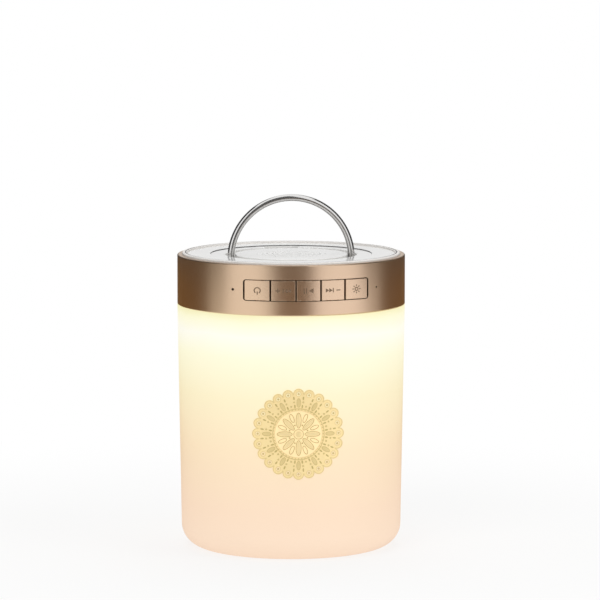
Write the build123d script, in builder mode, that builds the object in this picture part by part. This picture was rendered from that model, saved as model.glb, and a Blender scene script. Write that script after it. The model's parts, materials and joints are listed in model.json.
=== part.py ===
from build123d import *
import os
from math import copysign, cos, radians, sin, sqrt

# Portable speaker lamp: a frosted shade, a metal band with five buttons, and a folding carry ring.
# Millimetres. +Z is up, towards the carry ring. The origin is the centre of the shade's flat end,
# on which the lamp stands. The buttons face -Y and the charging socket faces +Y.
# A depth is a distance from the axis towards the buttons, so a plane at depth d lies at y = -d.

os.makedirs("parts", exist_ok=True)

# Overall sizes
body_radius = 55.0
shade_height = 118.0
band_height = 24.0

# Shade
shade_taper = 2.0
shade_end_rounding = 11.0
shade_wall = 2.0
neck_wall = 1.8
neck_clearance = 0.2
neck_rise = 0.5
seat_margin = 1.0

# Medallion
medallion_height = 61.8
medallion_turn = -4.9
medallion_radius = 21.8
medallion_thickness = 0.3
medallion_film = 0.05
lobe_count = 24
lobe_radius = 2.6
lobe_hole_radius = 0.9
leaf_count = 12
leaf_length = 4.4
leaf_width = 2.2
leaf_circle_radius = 15.0
petal_count = 8
petal_length = 6.4
petal_width = 1.6
petal_circle_radius = 6.6

# Band
band_wall = 1.2
band_face_width = 2.2
band_edge_rounding = 0.5
ledge_width = 1.2
ledge_thickness = 1.2
ledge_drop = 2.3
window_width = 60.0
window_height = 10.2
window_corner = 1.4
window_drop = 12.0
pinhole_margin = 4.4
microphone_hole_radius = 0.6
indicator_hole_radius = 0.4

# Cover and foot ring
cover_clearance = 0.15
cover_rise = 0.35
cover_edge_rounding = 0.3
disc_radius = 39.0
disc_drop = 0.45
foot_ring_width = 2.4
foot_ring_height = 1.6
foot_ring_rise = 0.65
foot_ring_rounding = 0.5
foot_ring_clearance = 0.05
notch_length = 18.0
notch_width = 7.7
notch_depth = 1.2
post_radius = 3.0
post_angle = 22.0
post_wall_gap = 1.0

# Carry ring and its pins
ring_radius = 29.5
wire_diameter = 3.3
pivot_depth = 2.2
channel_side_gap = 0.55
channel_floor_gap = 0.35
channel_wall = 1.8
channel_floor_wall = 1.2
pin_diameter = 1.6
pin_running_fit = 0.05
pin_hold_fit = 0.01
pin_embed = 1.3

# Speaker
grille_radius = 16.5
grille_thickness = 0.8
grille_ledge = 1.8
grille_clearance = 0.1
grille_hole_radius = 0.5
grille_hole_margin = 0.2
grille_hole_rings = 6
speaker_radius = 18.0
speaker_seat_height = 2.7
speaker_seat_width = 2.5
gasket_thickness = 0.8
flange_thickness = 1.0
roll_radius = 1.3
roll_thickness = 0.4
roll_rim_width = 2.8
cone_lip = 0.9
cone_lip_gap = 0.1
cone_thickness = 0.4
cone_height = 5.6
coil_former_radius = 4.6
coil_former_wall = 0.25
coil_winding_thickness = 0.4
coil_winding_height = 3.2
coil_overhang = 0.4
glue_gap = 0.05
magnet_gap = 0.35
dust_cap_radius = 6.2
dust_cap_rise = 2.1
dust_cap_thickness = 0.3
basket_wall = 1.0
basket_depth = 8.0
basket_base_thickness = 1.0
basket_base_radius = 11.2
basket_window_count = 4
basket_window_width = 7.0
basket_window_margin = 1.0
spider_ledge_width = 1.8
spider_ledge_height = 1.2
spider_thickness = 0.3
spider_rim_gap = 0.1
spider_wave_height = 0.4
spider_wave_count = 2
top_plate_thickness = 2.0
plate_radius = 10.5
magnet_radius = 11.5
magnet_bore = 6.5
magnet_thickness = 5.2
yoke_plate_thickness = 1.6
speaker_screw_count = 3
speaker_boss_radius = 1.9
speaker_boss_gap = 0.15
speaker_screw_head_radius = 2.7

# Chassis
deck_gap = 1.5
deck_thickness = 2.4
skirt_height = 6.5
skirt_wall = 1.6
skirt_front_gap = 1.0
tab_width = 6.0
tab_height = 1.4
tab_reach = 1.2
tab_clearance = 0.3
tab_angle = 30.0
tab_drop = 2.2

# Buttons
button_count = 5
button_gap = 0.68
button_edge_gap = 0.3
button_wall = 1.6
button_front_wall = 2.0
button_edge_rounding = 0.25
button_stem_radius = 1.8
button_stem_reach = 0.2
button_flange_lip = 0.85
button_flange_thickness = 1.2
button_flange_gap = 0.1
guide_fit = 0.15
guide_margin = 2.0
guide_rim = 0.6
guide_thickness = 2.0
guide_wall_gap = 0.4
guide_foot_length = 8.0
guide_foot_thickness = 2.0
cheek_thickness = 2.0
cheek_tail = 1.2
lug_height = 5.0
lug_thickness = 2.2
plunger_radius = 1.6
plunger_reach = 1.0
plunger_length = 1.9
plunger_fit = 0.1
switch_size = 6.0
switch_depth = 3.4
switch_floor = 0.5
button_board_height = 7.4
button_board_thickness = 1.6
groove_depth = 1.0
groove_clearance = 0.1
microphone_radius = 1.8
microphone_length = 2.4
microphone_wall_gap = 0.4
indicator_radius = 1.5
indicator_length = 1.2

# Main board and battery
battery_length = 40.0
battery_thickness = 6.0
battery_rounding = 1.5
battery_wall_gap = 2.0
battery_magnet_gap = 7.1
board_standoff = 8.5
board_thickness = 1.6
board_speaker_gap = 1.5
board_post_gap = 2.0
board_rim_gap = 1.0
standoff_radius = 2.4
standoff_battery_gap = 1.2
standoff_edge = 4.0
socket_width = 8.94
socket_height = 3.26
socket_depth = 7.35
socket_wall = 0.3
socket_back = 1.2
socket_tongue_width = 6.69
socket_tongue_height = 0.7
socket_tongue_length = 4.45
socket_band_gap = 0.4
port_clearance = 0.4
radio_length = 12.0
radio_width = 9.0
radio_thickness = 2.2
amplifier_size = 6.0
amplifier_thickness = 1.5
capacitor_radius = 3.0
capacitor_height = 7.0
connector_count = 4
connector_length = 5.0
connector_width = 4.0
connector_height = 4.0
connector_pitch = 10.0
part_spacing = 2.0

# Leads between the boards, the battery and the speaker
lead_radius = 0.7
lead_bend = 2.0
lead_deck_gap = 0.1
lead_hole_play = 0.5
lead_rise_gap = 4.5

# Light board
light_board_radius = 36.0
light_board_thickness = 1.2
light_board_standoff = 1.5
light_screw_count = 3
light_screw_circle_radius = 21.0
light_boss_radius = 2.6
chip_size = 5.0
chip_thickness = 1.4
outer_chip_count = 12
outer_chip_circle_radius = 29.0
inner_chip_count = 6
inner_chip_circle_radius = 13.0

# Screws: one small size, with the same play in a through hole and the same fit in a pilot hole
screw_radius = 0.9
screw_head_radius = 1.9
screw_head_height = 1.2
screw_bite = 3.6
screw_play = 0.3
screw_fit = 0.02
screw_tip_gap = 0.4

# Heights of the band, the cover and the carry ring's pivots
band_top_z = shade_height + band_height
ledge_top_z = band_top_z - ledge_drop
ledge_bottom_z = ledge_top_z - ledge_thickness
cover_top_z = band_top_z + cover_rise
cover_under_z = ledge_top_z
disc_top_z = cover_top_z - disc_drop
foot_top_z = cover_top_z + foot_ring_rise
foot_seat_z = foot_top_z - foot_ring_height
wire_radius = wire_diameter / 2
pin_radius = pin_diameter / 2
pivot_z = disc_top_z - pivot_depth
channel_floor_z = pivot_z - wire_radius - channel_floor_gap
ridge_bottom_z = channel_floor_z - channel_floor_wall

# Heights of the speaker, which hangs from the cover, and of the deck below it
speaker_seat_z = cover_under_z - speaker_seat_height
gasket_bottom_z = speaker_seat_z - gasket_thickness
flange_top_z = gasket_bottom_z - roll_thickness
flange_bottom_z = flange_top_z - flange_thickness
cone_neck_z = flange_top_z - cone_height
basket_base_z = flange_bottom_z - basket_depth
spider_seat_z = basket_base_z + spider_ledge_height
top_plate_z = basket_base_z - basket_base_thickness
magnet_top_z = top_plate_z - top_plate_thickness
magnet_bottom_z = magnet_top_z - magnet_thickness
speaker_back_z = magnet_bottom_z - yoke_plate_thickness
deck_top_z = speaker_back_z - deck_gap
deck_bottom_z = deck_top_z - deck_thickness
skirt_top_z = deck_top_z + skirt_height
neck_top_z = skirt_top_z + neck_rise
seat_bottom_z = deck_bottom_z - seat_margin
tab_z = skirt_top_z - tab_drop

# Radii of the shade's end and of the nested walls, from the band inwards
shade_end_radius = body_radius - shade_taper
band_inner_radius = body_radius - band_wall
band_mouth_radius = body_radius - band_face_width
ledge_inner_radius = band_mouth_radius - ledge_width
cover_radius = band_mouth_radius - cover_clearance
foot_inner_radius = cover_radius - foot_ring_width
neck_outer_radius = band_inner_radius - neck_clearance
neck_inner_radius = neck_outer_radius - neck_wall
chassis_radius = neck_inner_radius - neck_clearance
skirt_inner_radius = chassis_radius - skirt_wall
post_circle = skirt_inner_radius - post_wall_gap - post_radius
channel_inner_radius = ring_radius - wire_radius - channel_side_gap
channel_outer_radius = ring_radius + wire_radius + channel_side_gap
ridge_inner_radius = channel_inner_radius - channel_wall
ridge_outer_radius = channel_outer_radius + channel_wall
pin_start = channel_inner_radius - pin_embed
pin_length = channel_outer_radius + pin_embed - pin_start

# Radii of the speaker's rings
grille_opening_radius = grille_radius - grille_ledge
grille_hole_pitch = (grille_opening_radius - grille_hole_margin - grille_hole_radius) / grille_hole_rings
speaker_seat_radius = speaker_radius - speaker_seat_width
speaker_boss_circle = speaker_radius + speaker_boss_gap + speaker_boss_radius
roll_circle = speaker_radius - roll_rim_width - roll_radius
roll_inside = roll_radius - roll_thickness / 2
roll_outside = roll_radius + roll_thickness / 2
roll_foot = sqrt(roll_outside**2 - roll_thickness**2)
flange_inner_radius = roll_circle + roll_inside
cone_radius = roll_circle - roll_inside - cone_lip_gap
cone_bend_radius = cone_radius - cone_lip
coil_outer_radius = coil_former_radius + coil_former_wall
winding_radius = coil_outer_radius + coil_winding_thickness
cone_neck_radius = coil_outer_radius + glue_gap
cone_slope = cone_height / (cone_bend_radius - cone_neck_radius)
dust_cap_z = flange_top_z - (cone_bend_radius - dust_cap_radius) * cone_slope + glue_gap
basket_inner_radius = basket_base_radius - basket_wall
spider_ledge_radius = basket_inner_radius - spider_ledge_width
winding_z = (top_plate_z + magnet_top_z) / 2

# The button row, its guide and its board, as depths from the axis
window_z = band_top_z - window_drop
row_width = window_width - 2 * button_gap
button_width = (row_width - (button_count - 1) * button_gap) / button_count
button_height = window_height - 2 * button_edge_gap
button_pitch = button_width + button_gap
button_corner = window_corner - button_gap
button_places = [(index - (button_count - 1) / 2) * button_pitch for index in range(button_count)]
guide_half = window_width / 2 + guide_margin
guide_corner_radius = min(ledge_inner_radius, neck_inner_radius) - guide_wall_gap
guide_front = sqrt(guide_corner_radius**2 - guide_half**2)
guide_back = guide_front - guide_thickness
guide_half_height = window_height / 2 + guide_rim
guide_top_z = window_z + guide_half_height
groove_bottom_z = window_z - button_board_height / 2
button_flange_front = guide_back - button_flange_gap
button_flange_back = button_flange_front - button_flange_thickness
plunger_front = button_flange_back - button_stem_reach
switch_front = plunger_front - plunger_reach
button_board_front = switch_front - switch_depth
button_board_back = button_board_front - button_board_thickness
cheek_back = button_board_back - cheek_tail
cheek_inner = guide_half - cheek_thickness
button_board_half = cheek_inner + groove_depth
foot_places = [(side * (guide_half - guide_foot_length / 2), -button_board_front) for side in (-1, 1)]
pinhole_x = window_width / 2 + pinhole_margin
lug_outer = pinhole_x + microphone_radius
microphone_front = sqrt(band_inner_radius**2 - lug_outer**2) - microphone_wall_gap
lug_front = microphone_front - microphone_length

# The main board and the battery, behind the speaker
post_x = post_circle * cos(radians(post_angle))
board_bottom_z = deck_top_z + board_standoff
board_top_z = board_bottom_z + board_thickness
board_front_y = speaker_radius + board_speaker_gap
board_half = post_x - post_radius - board_post_gap
board_radius = ledge_inner_radius - board_rim_gap
battery_back_y = sqrt((skirt_inner_radius - battery_wall_gap) ** 2 - (battery_length / 2) ** 2)
battery_front_y = magnet_radius + battery_magnet_gap
battery_width = battery_back_y - battery_front_y
battery_y = (battery_front_y + battery_back_y) / 2
standoff_x = battery_length / 2 + standoff_battery_gap + standoff_radius
standoff_front_y = board_front_y + standoff_edge
standoff_back_y = sqrt((board_radius - standoff_edge) ** 2 - standoff_x**2)
standoff_places = [(side * standoff_x, y) for side in (-1, 1) for y in (standoff_front_y, standoff_back_y)]
socket_mouth_y = band_inner_radius - socket_band_gap
socket_z = board_top_z + socket_height / 2
connector_front_y = board_front_y + part_spacing
connector_y = connector_front_y + connector_width / 2
connector_places = [
    (index - (connector_count - 1) / 2) * connector_pitch for index in range(connector_count)
]
component_y = connector_y + connector_width / 2 + part_spacing + radio_width / 2
radio_x = -(part_spacing + radio_length) / 2
amplifier_x = (part_spacing + amplifier_size) / 2
capacitor_x = amplifier_x + amplifier_size / 2 + part_spacing + capacitor_radius
capacitor_pitch = 2 * capacitor_radius + part_spacing

# The light board under the deck
light_board_top_z = deck_bottom_z - light_board_standoff
light_board_bottom_z = light_board_top_z - light_board_thickness

# Routes of the leads: each starts at its connector and keeps to one upright plane, as (y, z) points
lead_z = board_top_z + connector_height / 2
lead_drop_y = (magnet_radius + battery_front_y) / 2
lead_deck_z = deck_top_z + lead_deck_gap + lead_radius
lead_rise_y = lead_rise_gap - button_board_back
light_lead_x = connector_places[0]
speaker_lead_x = connector_places[1]
battery_lead_x = connector_places[-2]
button_lead_x = connector_places[-1]
speaker_tab_radius = (flange_inner_radius + basket_wall + speaker_radius) / 2
speaker_tab_y = sqrt(speaker_tab_radius**2 - speaker_lead_x**2)
battery_tab_z = deck_top_z + battery_thickness / 2
lead_routes = {
    light_lead_x: [
        (connector_front_y, lead_z),
        (lead_drop_y, lead_z),
        (lead_drop_y, light_board_top_z),
    ],
    speaker_lead_x: [
        (connector_front_y, lead_z),
        (speaker_tab_y, lead_z),
        (speaker_tab_y, flange_bottom_z),
    ],
    battery_lead_x: [
        (connector_front_y, lead_z),
        (lead_drop_y, lead_z),
        (lead_drop_y, battery_tab_z),
        (battery_front_y, battery_tab_z),
    ],
    button_lead_x: [
        (connector_front_y, lead_z),
        (lead_drop_y, lead_z),
        (lead_drop_y, lead_deck_z),
        (lead_rise_y, lead_deck_z),
        (lead_rise_y, window_z),
        (-button_board_back, window_z),
    ],
}


def shade_radius(height):
    """Outer radius of the tapered shade at a height."""
    return shade_end_radius + shade_taper * height / shade_height


def mirrored_angles(angle):
    """Four angles, mirrored about both upright planes."""
    return [angle, 180 - angle, 180 + angle, -angle]


def polar(radius, angle):
    """Point in plan at a radius and an angle in degrees."""
    return (radius * cos(radians(angle)), radius * sin(radians(angle)))


def corner(profile, radius, height):
    """Vertex of a profile nearest to a point of its outline."""
    return profile.vertices().sort_by_distance((radius, height))[0]


def save(builder, name):
    """Label a finished piece and write its STEP file."""
    builder.part.label = name
    export_step(builder.part, f"parts/{name}.step")


def make_screws(name, places, seat_z, reach, head_radius=screw_head_radius):
    """Screws at plan points: heads against a seat, shanks beyond it, upwards where reach is positive."""
    with BuildPart() as screws:
        with BuildSketch(Plane.XY.offset(seat_z)):
            with Locations(*places):
                Circle(head_radius)
        extrude(amount=-copysign(screw_head_height, reach))
        with BuildSketch(Plane.XY.offset(seat_z)):
            with Locations(*places):
                Circle(screw_radius)
        extrude(amount=reach)
    save(screws, name)


def make_ring(name, inner_radius, outer_radius, bottom_z, top_z):
    """Plain flat ring about the axis."""
    with BuildPart() as ring:
        with BuildSketch(Plane.XY.offset(bottom_z)):
            Circle(outer_radius)
            Circle(inner_radius, mode=Mode.SUBTRACT)
        extrude(amount=top_z - bottom_z)
    save(ring, name)


post_places = [polar(post_circle, angle) for angle in mirrored_angles(post_angle)]
speaker_boss_places = [
    polar(speaker_boss_circle, 90 + index * 360 / speaker_screw_count) for index in range(speaker_screw_count)
]
light_screw_places = [
    polar(light_screw_circle_radius, 90 + index * 360 / light_screw_count)
    for index in range(light_screw_count)
]

# Shade: tapered cup with a rounded end, a shoulder for the band and a neck inside the band
with BuildPart() as shade:
    with BuildSketch(Plane.XZ) as shade_profile:
        with BuildLine():
            Polyline(
                (0, 0),
                (shade_end_radius, 0),
                (body_radius, shade_height),
                (neck_outer_radius, shade_height),
                (neck_outer_radius, neck_top_z),
                (neck_inner_radius, neck_top_z),
                (neck_inner_radius, seat_bottom_z),
                (shade_radius(seat_bottom_z) - shade_wall, seat_bottom_z),
                (shade_radius(shade_wall) - shade_wall, shade_wall),
                (0, shade_wall),
                close=True,
            )
        make_face()
        fillet(corner(shade_profile, shade_end_radius, 0), radius=shade_end_rounding)
        inside = corner(shade_profile, shade_radius(shade_wall) - shade_wall, shade_wall)
        fillet(inside, radius=shade_end_rounding - shade_wall)
    revolve(axis=Axis.Z)
    for angle in mirrored_angles(tab_angle):
        with BuildSketch(Plane.XY.offset(tab_z - tab_clearance).rotated((0, 0, angle))):
            with Locations(((neck_inner_radius + neck_outer_radius) / 2, 0)):
                Rectangle(neck_wall + 2 * tab_clearance, tab_width + 2 * tab_clearance)
        extrude(amount=tab_height + 2 * tab_clearance, mode=Mode.SUBTRACT)
save(shade, "shade")

# Medallion: scalloped and pierced plaque, bent to the shade
plaque_facing = radians(medallion_turn)
plaque_plane = Plane(
    origin=(0, 0, medallion_height),
    x_dir=(cos(plaque_facing), sin(plaque_facing), 0),
    z_dir=(sin(plaque_facing), -cos(plaque_facing), 0),
)
plaque_low_z = medallion_height - medallion_radius - medallion_thickness
plaque_high_z = medallion_height + medallion_radius + medallion_thickness
plaque_outside = medallion_film + medallion_thickness
lobe_circle = medallion_radius - lobe_radius
with BuildPart() as medallion:
    with BuildSketch(Plane.XZ):
        with BuildLine():
            Polyline(
                (shade_radius(plaque_low_z) + medallion_film, plaque_low_z),
                (shade_radius(plaque_low_z) + plaque_outside, plaque_low_z),
                (shade_radius(plaque_high_z) + plaque_outside, plaque_high_z),
                (shade_radius(plaque_high_z) + medallion_film, plaque_high_z),
                close=True,
            )
        make_face()
    revolve(axis=Axis.Z)
    with BuildSketch(plaque_plane):
        Circle(lobe_circle)
        with PolarLocations(lobe_circle, lobe_count):
            Circle(lobe_radius)
            Circle(lobe_hole_radius, mode=Mode.SUBTRACT)
        with PolarLocations(leaf_circle_radius, leaf_count):
            Ellipse(leaf_length / 2, leaf_width / 2, mode=Mode.SUBTRACT)
        with PolarLocations(petal_circle_radius, petal_count):
            Ellipse(petal_length / 2, petal_width / 2, mode=Mode.SUBTRACT)
    extrude(amount=2 * body_radius, mode=Mode.INTERSECT)
save(medallion, "medallion")

# Band: metal ring on the shade's shoulder, with a ledge under the cover's rim
with BuildPart() as band:
    with BuildSketch(Plane.XZ) as band_profile:
        with BuildLine():
            Polyline(
                (body_radius, shade_height),
                (body_radius, band_top_z),
                (band_mouth_radius, band_top_z),
                (band_mouth_radius, ledge_top_z),
                (ledge_inner_radius, ledge_top_z),
                (ledge_inner_radius, ledge_bottom_z),
                (band_inner_radius, ledge_bottom_z),
                (band_inner_radius, shade_height),
                close=True,
            )
        make_face()
        fillet(band_profile.vertices().group_by(Axis.X)[-1], radius=band_edge_rounding)
    revolve(axis=Axis.Z)
    with BuildSketch(Plane.XZ):
        with Locations((0, window_z)):
            RectangleRounded(window_width, window_height, window_corner)
        with Locations((-pinhole_x, window_z)):
            Circle(microphone_hole_radius)
        with Locations((pinhole_x, window_z)):
            Circle(indicator_hole_radius)
    extrude(amount=2 * body_radius, mode=Mode.SUBTRACT)
    with BuildSketch(Plane.XZ):
        with Locations((0, socket_z)):
            SlotOverall(socket_width + 2 * port_clearance, socket_height + 2 * port_clearance)
    extrude(amount=-2 * body_radius, mode=Mode.SUBTRACT)
save(band, "band")

# Base cover: raised rim, sunk disc, channel for the folded ring, posts down to the deck
notch_y = ring_radius + notch_width / 2
with BuildPart() as base_cover:
    with BuildSketch(Plane.XZ) as cover_profile:
        with BuildLine():
            Polyline(
                (grille_opening_radius, cover_under_z),
                (speaker_seat_radius, cover_under_z),
                (speaker_seat_radius, speaker_seat_z),
                (speaker_radius, speaker_seat_z),
                (speaker_radius, cover_under_z),
                (ridge_inner_radius, cover_under_z),
                (ridge_inner_radius, ridge_bottom_z),
                (ridge_outer_radius, ridge_bottom_z),
                (ridge_outer_radius, cover_under_z),
                (cover_radius, cover_under_z),
                (cover_radius, foot_seat_z),
                (foot_inner_radius, foot_seat_z),
                (foot_inner_radius, cover_top_z),
                (disc_radius, cover_top_z),
                (disc_radius, disc_top_z),
                (channel_outer_radius, disc_top_z),
                (channel_outer_radius, channel_floor_z),
                (channel_inner_radius, channel_floor_z),
                (channel_inner_radius, disc_top_z),
                (grille_radius + grille_clearance, disc_top_z),
                (grille_radius + grille_clearance, disc_top_z - grille_thickness),
                (grille_opening_radius, disc_top_z - grille_thickness),
                close=True,
            )
        make_face()
        fillet(corner(cover_profile, foot_inner_radius, cover_top_z), radius=cover_edge_rounding)
        fillet(corner(cover_profile, disc_radius, cover_top_z), radius=cover_edge_rounding)
        chamfer(corner(cover_profile, channel_outer_radius, disc_top_z), length=cover_edge_rounding)
        chamfer(corner(cover_profile, channel_inner_radius, disc_top_z), length=cover_edge_rounding)
    revolve(axis=Axis.Z)
    with BuildSketch(Plane.XY.offset(disc_top_z)):
        with Locations((0, notch_y)):
            SlotOverall(notch_length, notch_width)
    extrude(amount=-notch_depth, mode=Mode.SUBTRACT)
    with BuildSketch(Plane.XY.offset(deck_top_z)):
        with Locations(*post_places):
            Circle(post_radius)
    extrude(amount=cover_under_z - deck_top_z)
    with BuildSketch(Plane.XY.offset(deck_top_z)):
        with Locations(*post_places):
            Circle(screw_radius + screw_fit)
    extrude(amount=screw_bite + screw_tip_gap, mode=Mode.SUBTRACT)
    with BuildSketch(Plane.XY.offset(flange_bottom_z)):
        with Locations(*speaker_boss_places):
            Circle(speaker_boss_radius)
    extrude(amount=cover_under_z - flange_bottom_z)
    with BuildSketch(Plane.XY.offset(flange_bottom_z)):
        with Locations(*speaker_boss_places):
            Circle(screw_radius + screw_fit)
    extrude(amount=screw_bite + screw_tip_gap, mode=Mode.SUBTRACT)
    for side in (-1, 1):
        with BuildSketch(Plane.YZ.offset(side * pin_start)):
            with Locations((0, pivot_z)):
                Circle(pin_radius + pin_hold_fit)
        extrude(amount=side * (ridge_outer_radius - pin_start + pin_length), mode=Mode.SUBTRACT)
save(base_cover, "base_cover")

# Foot ring: soft lip in the rebate of the cover's rim
with BuildPart() as foot_ring:
    with BuildSketch(Plane.XY.offset(foot_seat_z)):
        Circle(cover_radius)
        Circle(foot_inner_radius + foot_ring_clearance, mode=Mode.SUBTRACT)
    extrude(amount=foot_ring_height)
    fillet(foot_ring.faces().sort_by(Axis.Z)[-1].edges(), radius=foot_ring_rounding)
save(foot_ring, "foot_ring")

# Carry ring: wire half-ring with round ends, each bored across for its pivot pin
with BuildPart() as carry_ring:
    with BuildSketch(Plane.XY.offset(pivot_z)):
        with Locations((ring_radius, 0)):
            Circle(wire_radius)
    revolve(axis=Axis((0, 0, pivot_z), (0, -1, 0)), revolution_arc=180)
    with Locations((-ring_radius, 0, pivot_z), (ring_radius, 0, pivot_z)):
        Sphere(wire_radius)
    with BuildSketch(Plane.YZ):
        with Locations((0, pivot_z)):
            Circle(pin_radius + pin_running_fit)
    extrude(amount=2 * ring_radius, both=True, mode=Mode.SUBTRACT)
save(carry_ring, "carry_ring")

# Ring pins: one across the channel at each end of the carry ring
with BuildPart() as ring_pins:
    for side in (-1, 1):
        with BuildSketch(Plane.YZ.offset(side * pin_start)):
            with Locations((0, pivot_z)):
                Circle(pin_radius)
        extrude(amount=side * pin_length)
save(ring_pins, "ring_pins")

# Speaker grille: perforated disc, flush in the middle of the cover
with BuildPart() as speaker_grille:
    with BuildSketch(Plane.XY.offset(disc_top_z)):
        Circle(grille_radius)
        Circle(grille_hole_radius, mode=Mode.SUBTRACT)
        for ring_index in range(1, grille_hole_rings + 1):
            with PolarLocations(ring_index * grille_hole_pitch, 6 * ring_index):
                Circle(grille_hole_radius, mode=Mode.SUBTRACT)
    extrude(amount=-grille_thickness)
save(speaker_grille, "speaker_grille")

# Rings of the speaker, from its seat under the cover down to its magnet
make_ring("speaker_gasket", speaker_seat_radius, speaker_radius, gasket_bottom_z, speaker_seat_z)
make_ring("speaker_top_plate", winding_radius + magnet_gap, plate_radius, magnet_top_z, top_plate_z)
make_ring("speaker_magnet", magnet_bore, magnet_radius, magnet_bottom_z, magnet_top_z)

# Speaker frame: flange, sloping basket with windows, and a stepped base for the spider
with BuildPart() as speaker_frame:
    with BuildSketch(Plane.XZ):
        with BuildLine():
            Polyline(
                (flange_inner_radius, flange_top_z),
                (speaker_radius, flange_top_z),
                (speaker_radius, flange_bottom_z),
                (flange_inner_radius + basket_wall, flange_bottom_z),
                (basket_base_radius, basket_base_z),
                (basket_base_radius, top_plate_z),
                (magnet_bore, top_plate_z),
                (magnet_bore, basket_base_z),
                (spider_ledge_radius, basket_base_z),
                (spider_ledge_radius, spider_seat_z),
                (basket_inner_radius, spider_seat_z),
                (flange_inner_radius, flange_bottom_z),
                close=True,
            )
        make_face()
    revolve(axis=Axis.Z)
    window_low_z = spider_seat_z + basket_window_margin
    with BuildSketch(Plane.XY.offset(window_low_z)):
        with PolarLocations(speaker_radius, basket_window_count, start_angle=180 / basket_window_count):
            Rectangle(2 * (speaker_radius - spider_ledge_radius), basket_window_width)
    extrude(amount=flange_bottom_z - window_low_z, mode=Mode.SUBTRACT)
save(speaker_frame, "speaker_frame")

# Speaker yoke: back plate and pole
with BuildPart() as speaker_yoke:
    with BuildSketch(Plane.XY.offset(speaker_back_z)):
        Circle(plate_radius)
    extrude(amount=yoke_plate_thickness)
    with BuildSketch(Plane.XY.offset(magnet_bottom_z)):
        Circle(coil_former_radius - magnet_gap)
    extrude(amount=top_plate_z - magnet_bottom_z)
save(speaker_yoke, "speaker_yoke")

# Speaker cone: sloping paper with a flat lip under the surround
with BuildPart() as speaker_cone:
    with BuildSketch(Plane.XZ):
        with BuildLine():
            Polyline(
                (cone_radius, flange_top_z),
                (cone_bend_radius, flange_top_z),
                (cone_neck_radius, cone_neck_z),
                (cone_neck_radius, cone_neck_z - cone_thickness),
                (cone_bend_radius, flange_top_z - cone_thickness),
                (cone_radius, flange_top_z - cone_thickness),
                close=True,
            )
        make_face()
    revolve(axis=Axis.Z)
save(speaker_cone, "speaker_cone")

# Dust cap: shallow dome on the cone
dome_radius = (dust_cap_radius**2 + dust_cap_rise**2) / (2 * dust_cap_rise)
dome_centre_z = dust_cap_z + dust_cap_rise - dome_radius
with BuildPart() as dust_cap:
    with BuildSketch(Plane.XZ):
        with Locations((0, dome_centre_z)):
            Circle(dome_radius)
            Circle(dome_radius - dust_cap_thickness, mode=Mode.SUBTRACT)
        with Locations((dome_radius, dust_cap_z + dome_radius)):
            Rectangle(2 * dome_radius, 2 * dome_radius, mode=Mode.INTERSECT)
    revolve(axis=Axis.Z)
save(dust_cap, "dust_cap")

# Voice coil: former with its winding in the magnet's gap
winding_bottom_z = winding_z - coil_winding_height / 2
winding_top_z = winding_z + coil_winding_height / 2
with BuildPart() as voice_coil:
    with BuildSketch(Plane.XZ):
        with BuildLine():
            Polyline(
                (coil_former_radius, winding_bottom_z - coil_overhang),
                (coil_outer_radius, winding_bottom_z - coil_overhang),
                (coil_outer_radius, winding_bottom_z),
                (winding_radius, winding_bottom_z),
                (winding_radius, winding_top_z),
                (coil_outer_radius, winding_top_z),
                (coil_outer_radius, cone_neck_z),
                (coil_former_radius, cone_neck_z),
                close=True,
            )
        make_face()
    revolve(axis=Axis.Z)
save(voice_coil, "voice_coil")

# Speaker surround: half-round roll between the flange and the cone
with BuildPart() as speaker_surround:
    with BuildSketch(Plane.XZ):
        with BuildLine():
            Polyline(
                (roll_circle + roll_inside, flange_top_z),
                (speaker_radius, flange_top_z),
                (speaker_radius, gasket_bottom_z),
                (roll_circle + roll_foot, gasket_bottom_z),
            )
            ThreePointArc(
                (roll_circle + roll_foot, gasket_bottom_z),
                (roll_circle, flange_top_z + roll_outside),
                (roll_circle - roll_foot, gasket_bottom_z),
            )
            Polyline(
                (roll_circle - roll_foot, gasket_bottom_z),
                (cone_bend_radius, gasket_bottom_z),
                (cone_bend_radius, flange_top_z),
                (roll_circle - roll_inside, flange_top_z),
            )
            ThreePointArc(
                (roll_circle - roll_inside, flange_top_z),
                (roll_circle, flange_top_z + roll_inside),
                (roll_circle + roll_inside, flange_top_z),
            )
        make_face()
    revolve(axis=Axis.Z)
save(speaker_surround, "speaker_surround")

# Speaker spider: rippled disc that centres the coil
spider_inner = cone_neck_radius
spider_outer = basket_inner_radius - spider_rim_gap
wave_length = (spider_ledge_radius - spider_inner) / spider_wave_count
with BuildPart() as speaker_spider:
    with BuildSketch(Plane.XZ):
        with BuildLine():
            for face_z in (spider_seat_z, spider_seat_z + spider_thickness):
                for wave in range(spider_wave_count):
                    wave_start = spider_inner + wave * wave_length
                    crest_z = face_z + spider_wave_height * (-1) ** wave
                    ThreePointArc(
                        (wave_start, face_z),
                        (wave_start + wave_length / 2, crest_z),
                        (wave_start + wave_length, face_z),
                    )
                Line((spider_ledge_radius, face_z), (spider_outer, face_z))
            Line((spider_inner, spider_seat_z), (spider_inner, spider_seat_z + spider_thickness))
            Line((spider_outer, spider_seat_z), (spider_outer, spider_seat_z + spider_thickness))
        make_face()
    revolve(axis=Axis.Z)
save(speaker_spider, "speaker_spider")

make_screws("speaker_screws", speaker_boss_places, flange_bottom_z, screw_bite, speaker_screw_head_radius)

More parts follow.
